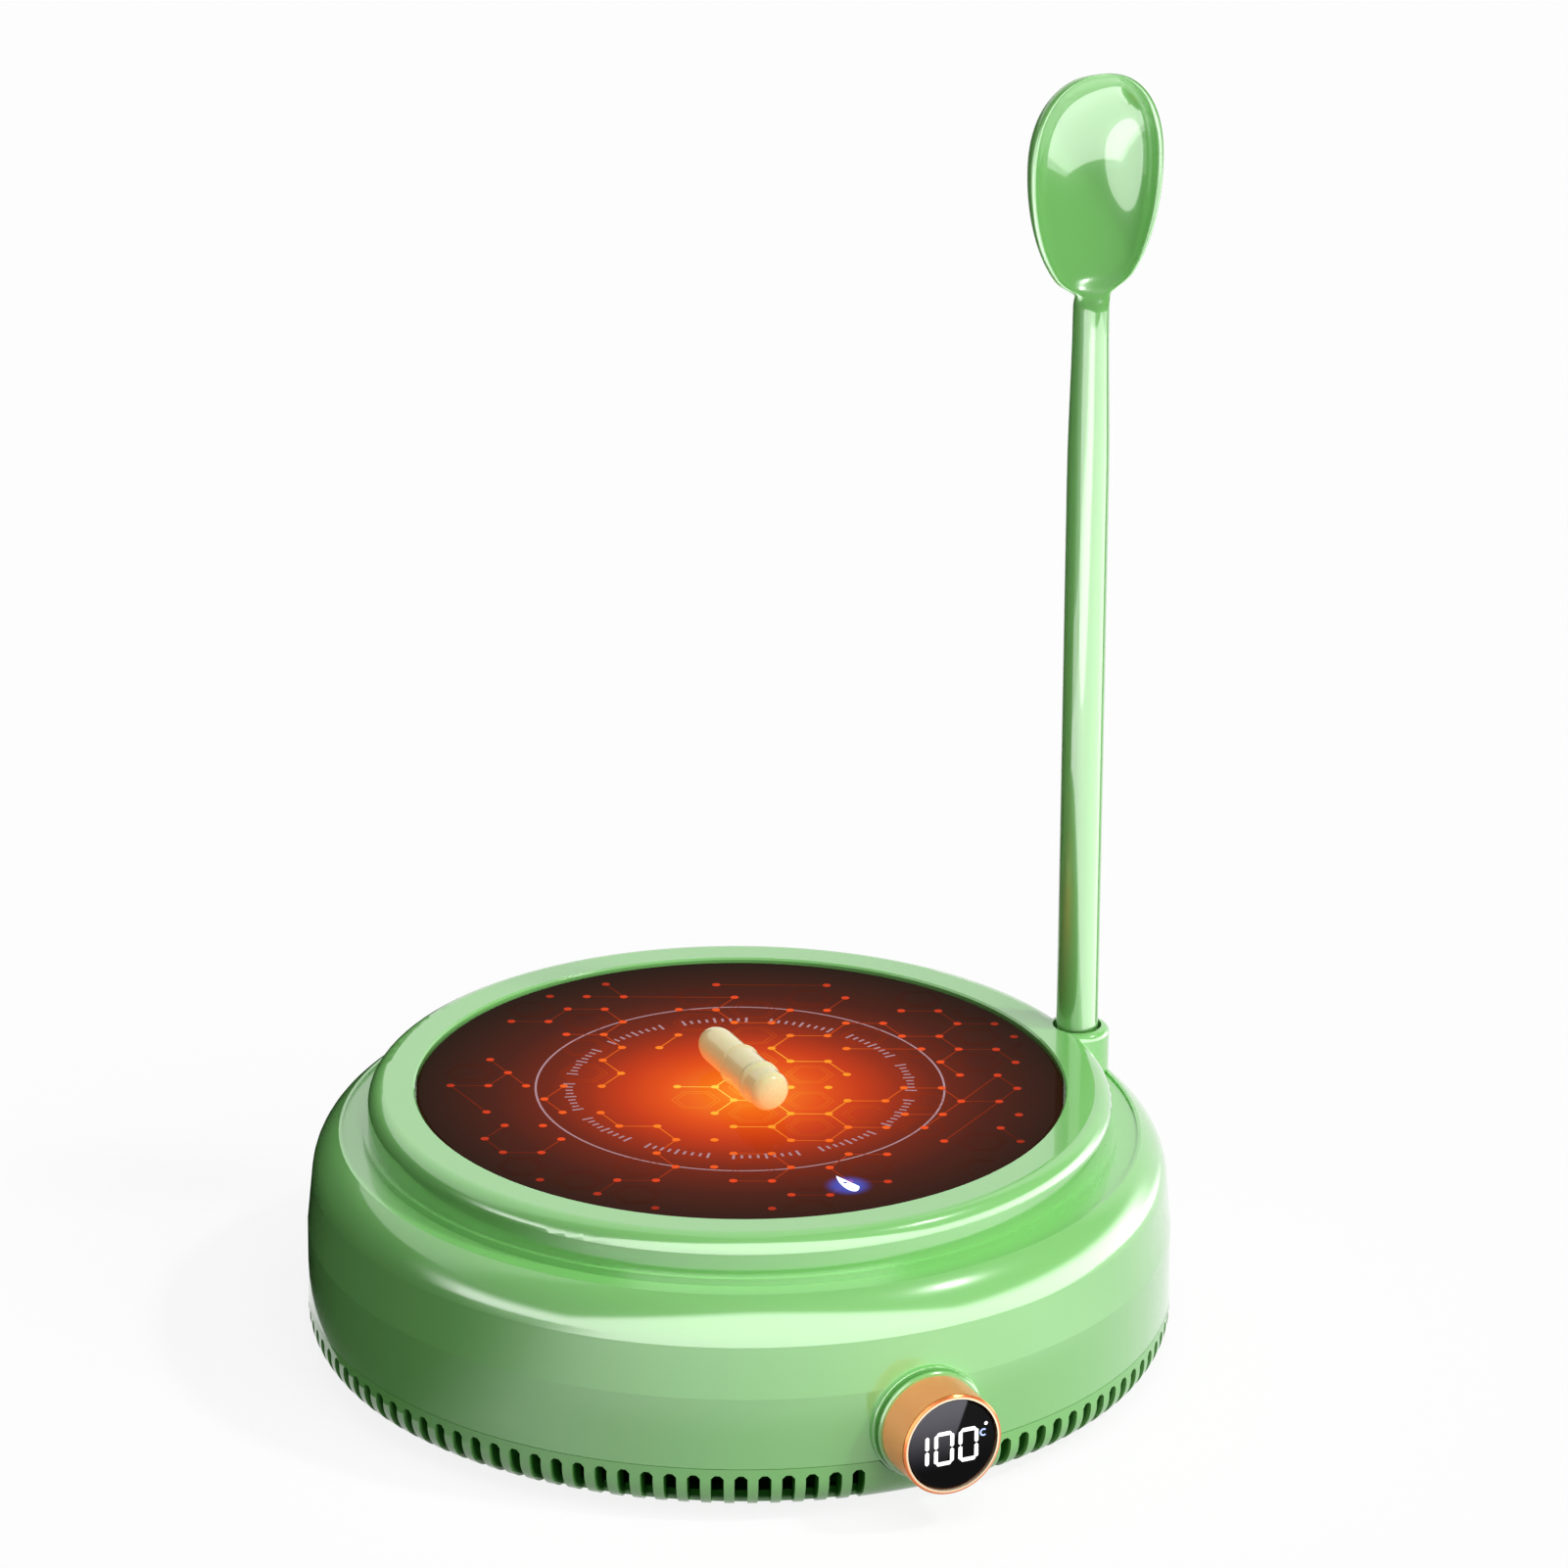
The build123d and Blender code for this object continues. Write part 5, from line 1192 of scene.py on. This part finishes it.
class WARMER_OT_stage(bpy.types.Operator):
    """Adds the floor, soft studio lights and the camera"""
    bl_idname = "warmer.stage"
    bl_label = "Stage"

    def execute(self, context):
        settings = context.scene.warmer_stage
        floor = add_floor()
        add_camera()
        white_world(settings.sky_strength)
        add_screen()
        suns = {name: add_sun(name, settings.lamp_strength) for name in LAMPS}
        spoon, bar = bpy.data.objects["spoon_moulding"], bpy.data.objects["stir_bar_coat"]
        for source, pieces in (
            (suns["back_fill"], [floor]), (suns["front_fill"], [spoon]),
            (add_tent(), [spoon, bar]), (add_mat(), [spoon, bar]),
        ):
            link_light(source, pieces, "EXCLUDE")
        bowl = ((SPOON_LOW.x + SPOON_HIGH.x) / 2, 0, SPOON_HIGH.z - BOWL_UPPER)
        knob = (0, LENS_LOW.y, LENS_CENTRE_Z)
        for card in CARDS:
            piece, middle = (NODES["knob_sleeve"], knob) if card[0] == "knob_card" else (spoon, bowl)
            add_card(card, [piece], middle, settings.lamp_strength)
        context.scene.view_settings.view_transform = "Standard"
        return {"FINISHED"}


# ---- Add-on ------------------------------------------------------------------------------------
SETTINGS = {
    "warmer_shell": ShellSettings,
    "warmer_plate": PlateSettings,
    "warmer_knob": KnobSettings,
    "warmer_stage": StageSettings,
}
OPERATORS = (
    WARMER_OT_shell, WARMER_OT_plate, WARMER_OT_touch_mark, WARMER_OT_stir_bar, WARMER_OT_spoon,
    WARMER_OT_knob, WARMER_OT_display, WARMER_OT_inner_parts, WARMER_OT_stage,
)


class WARMER_PT_panel(bpy.types.Panel):
    """Lists the warmer's steps and settings"""
    bl_idname = "WARMER_PT_panel"
    bl_label = "Mug warmer"
    bl_space_type = "VIEW_3D"
    bl_region_type = "UI"
    bl_category = "Mug warmer"

    def draw(self, context):
        for name, group in SETTINGS.items():
            box = self.layout.box()
            for prop in group.__annotations__:
                box.prop(getattr(context.scene, name), prop)
        for operator in OPERATORS:
            self.layout.operator(operator.bl_idname)


def register():
    for group in SETTINGS.values():
        bpy.utils.register_class(group)
    for name, group in SETTINGS.items():
        setattr(bpy.types.Scene, name, PointerProperty(type=group))
    for operator in OPERATORS:
        bpy.utils.register_class(operator)
    bpy.utils.register_class(WARMER_PT_panel)


def unregister():
    bpy.utils.unregister_class(WARMER_PT_panel)
    for operator in reversed(OPERATORS):
        bpy.utils.unregister_class(operator)
    for name in SETTINGS:
        delattr(bpy.types.Scene, name)
    for group in SETTINGS.values():
        bpy.utils.unregister_class(group)


def main():
    register()
    for operator in OPERATORS:
        family, step = operator.bl_idname.split(".")
        getattr(getattr(bpy.ops, family), step)()


if __name__ == "__main__":
    main()
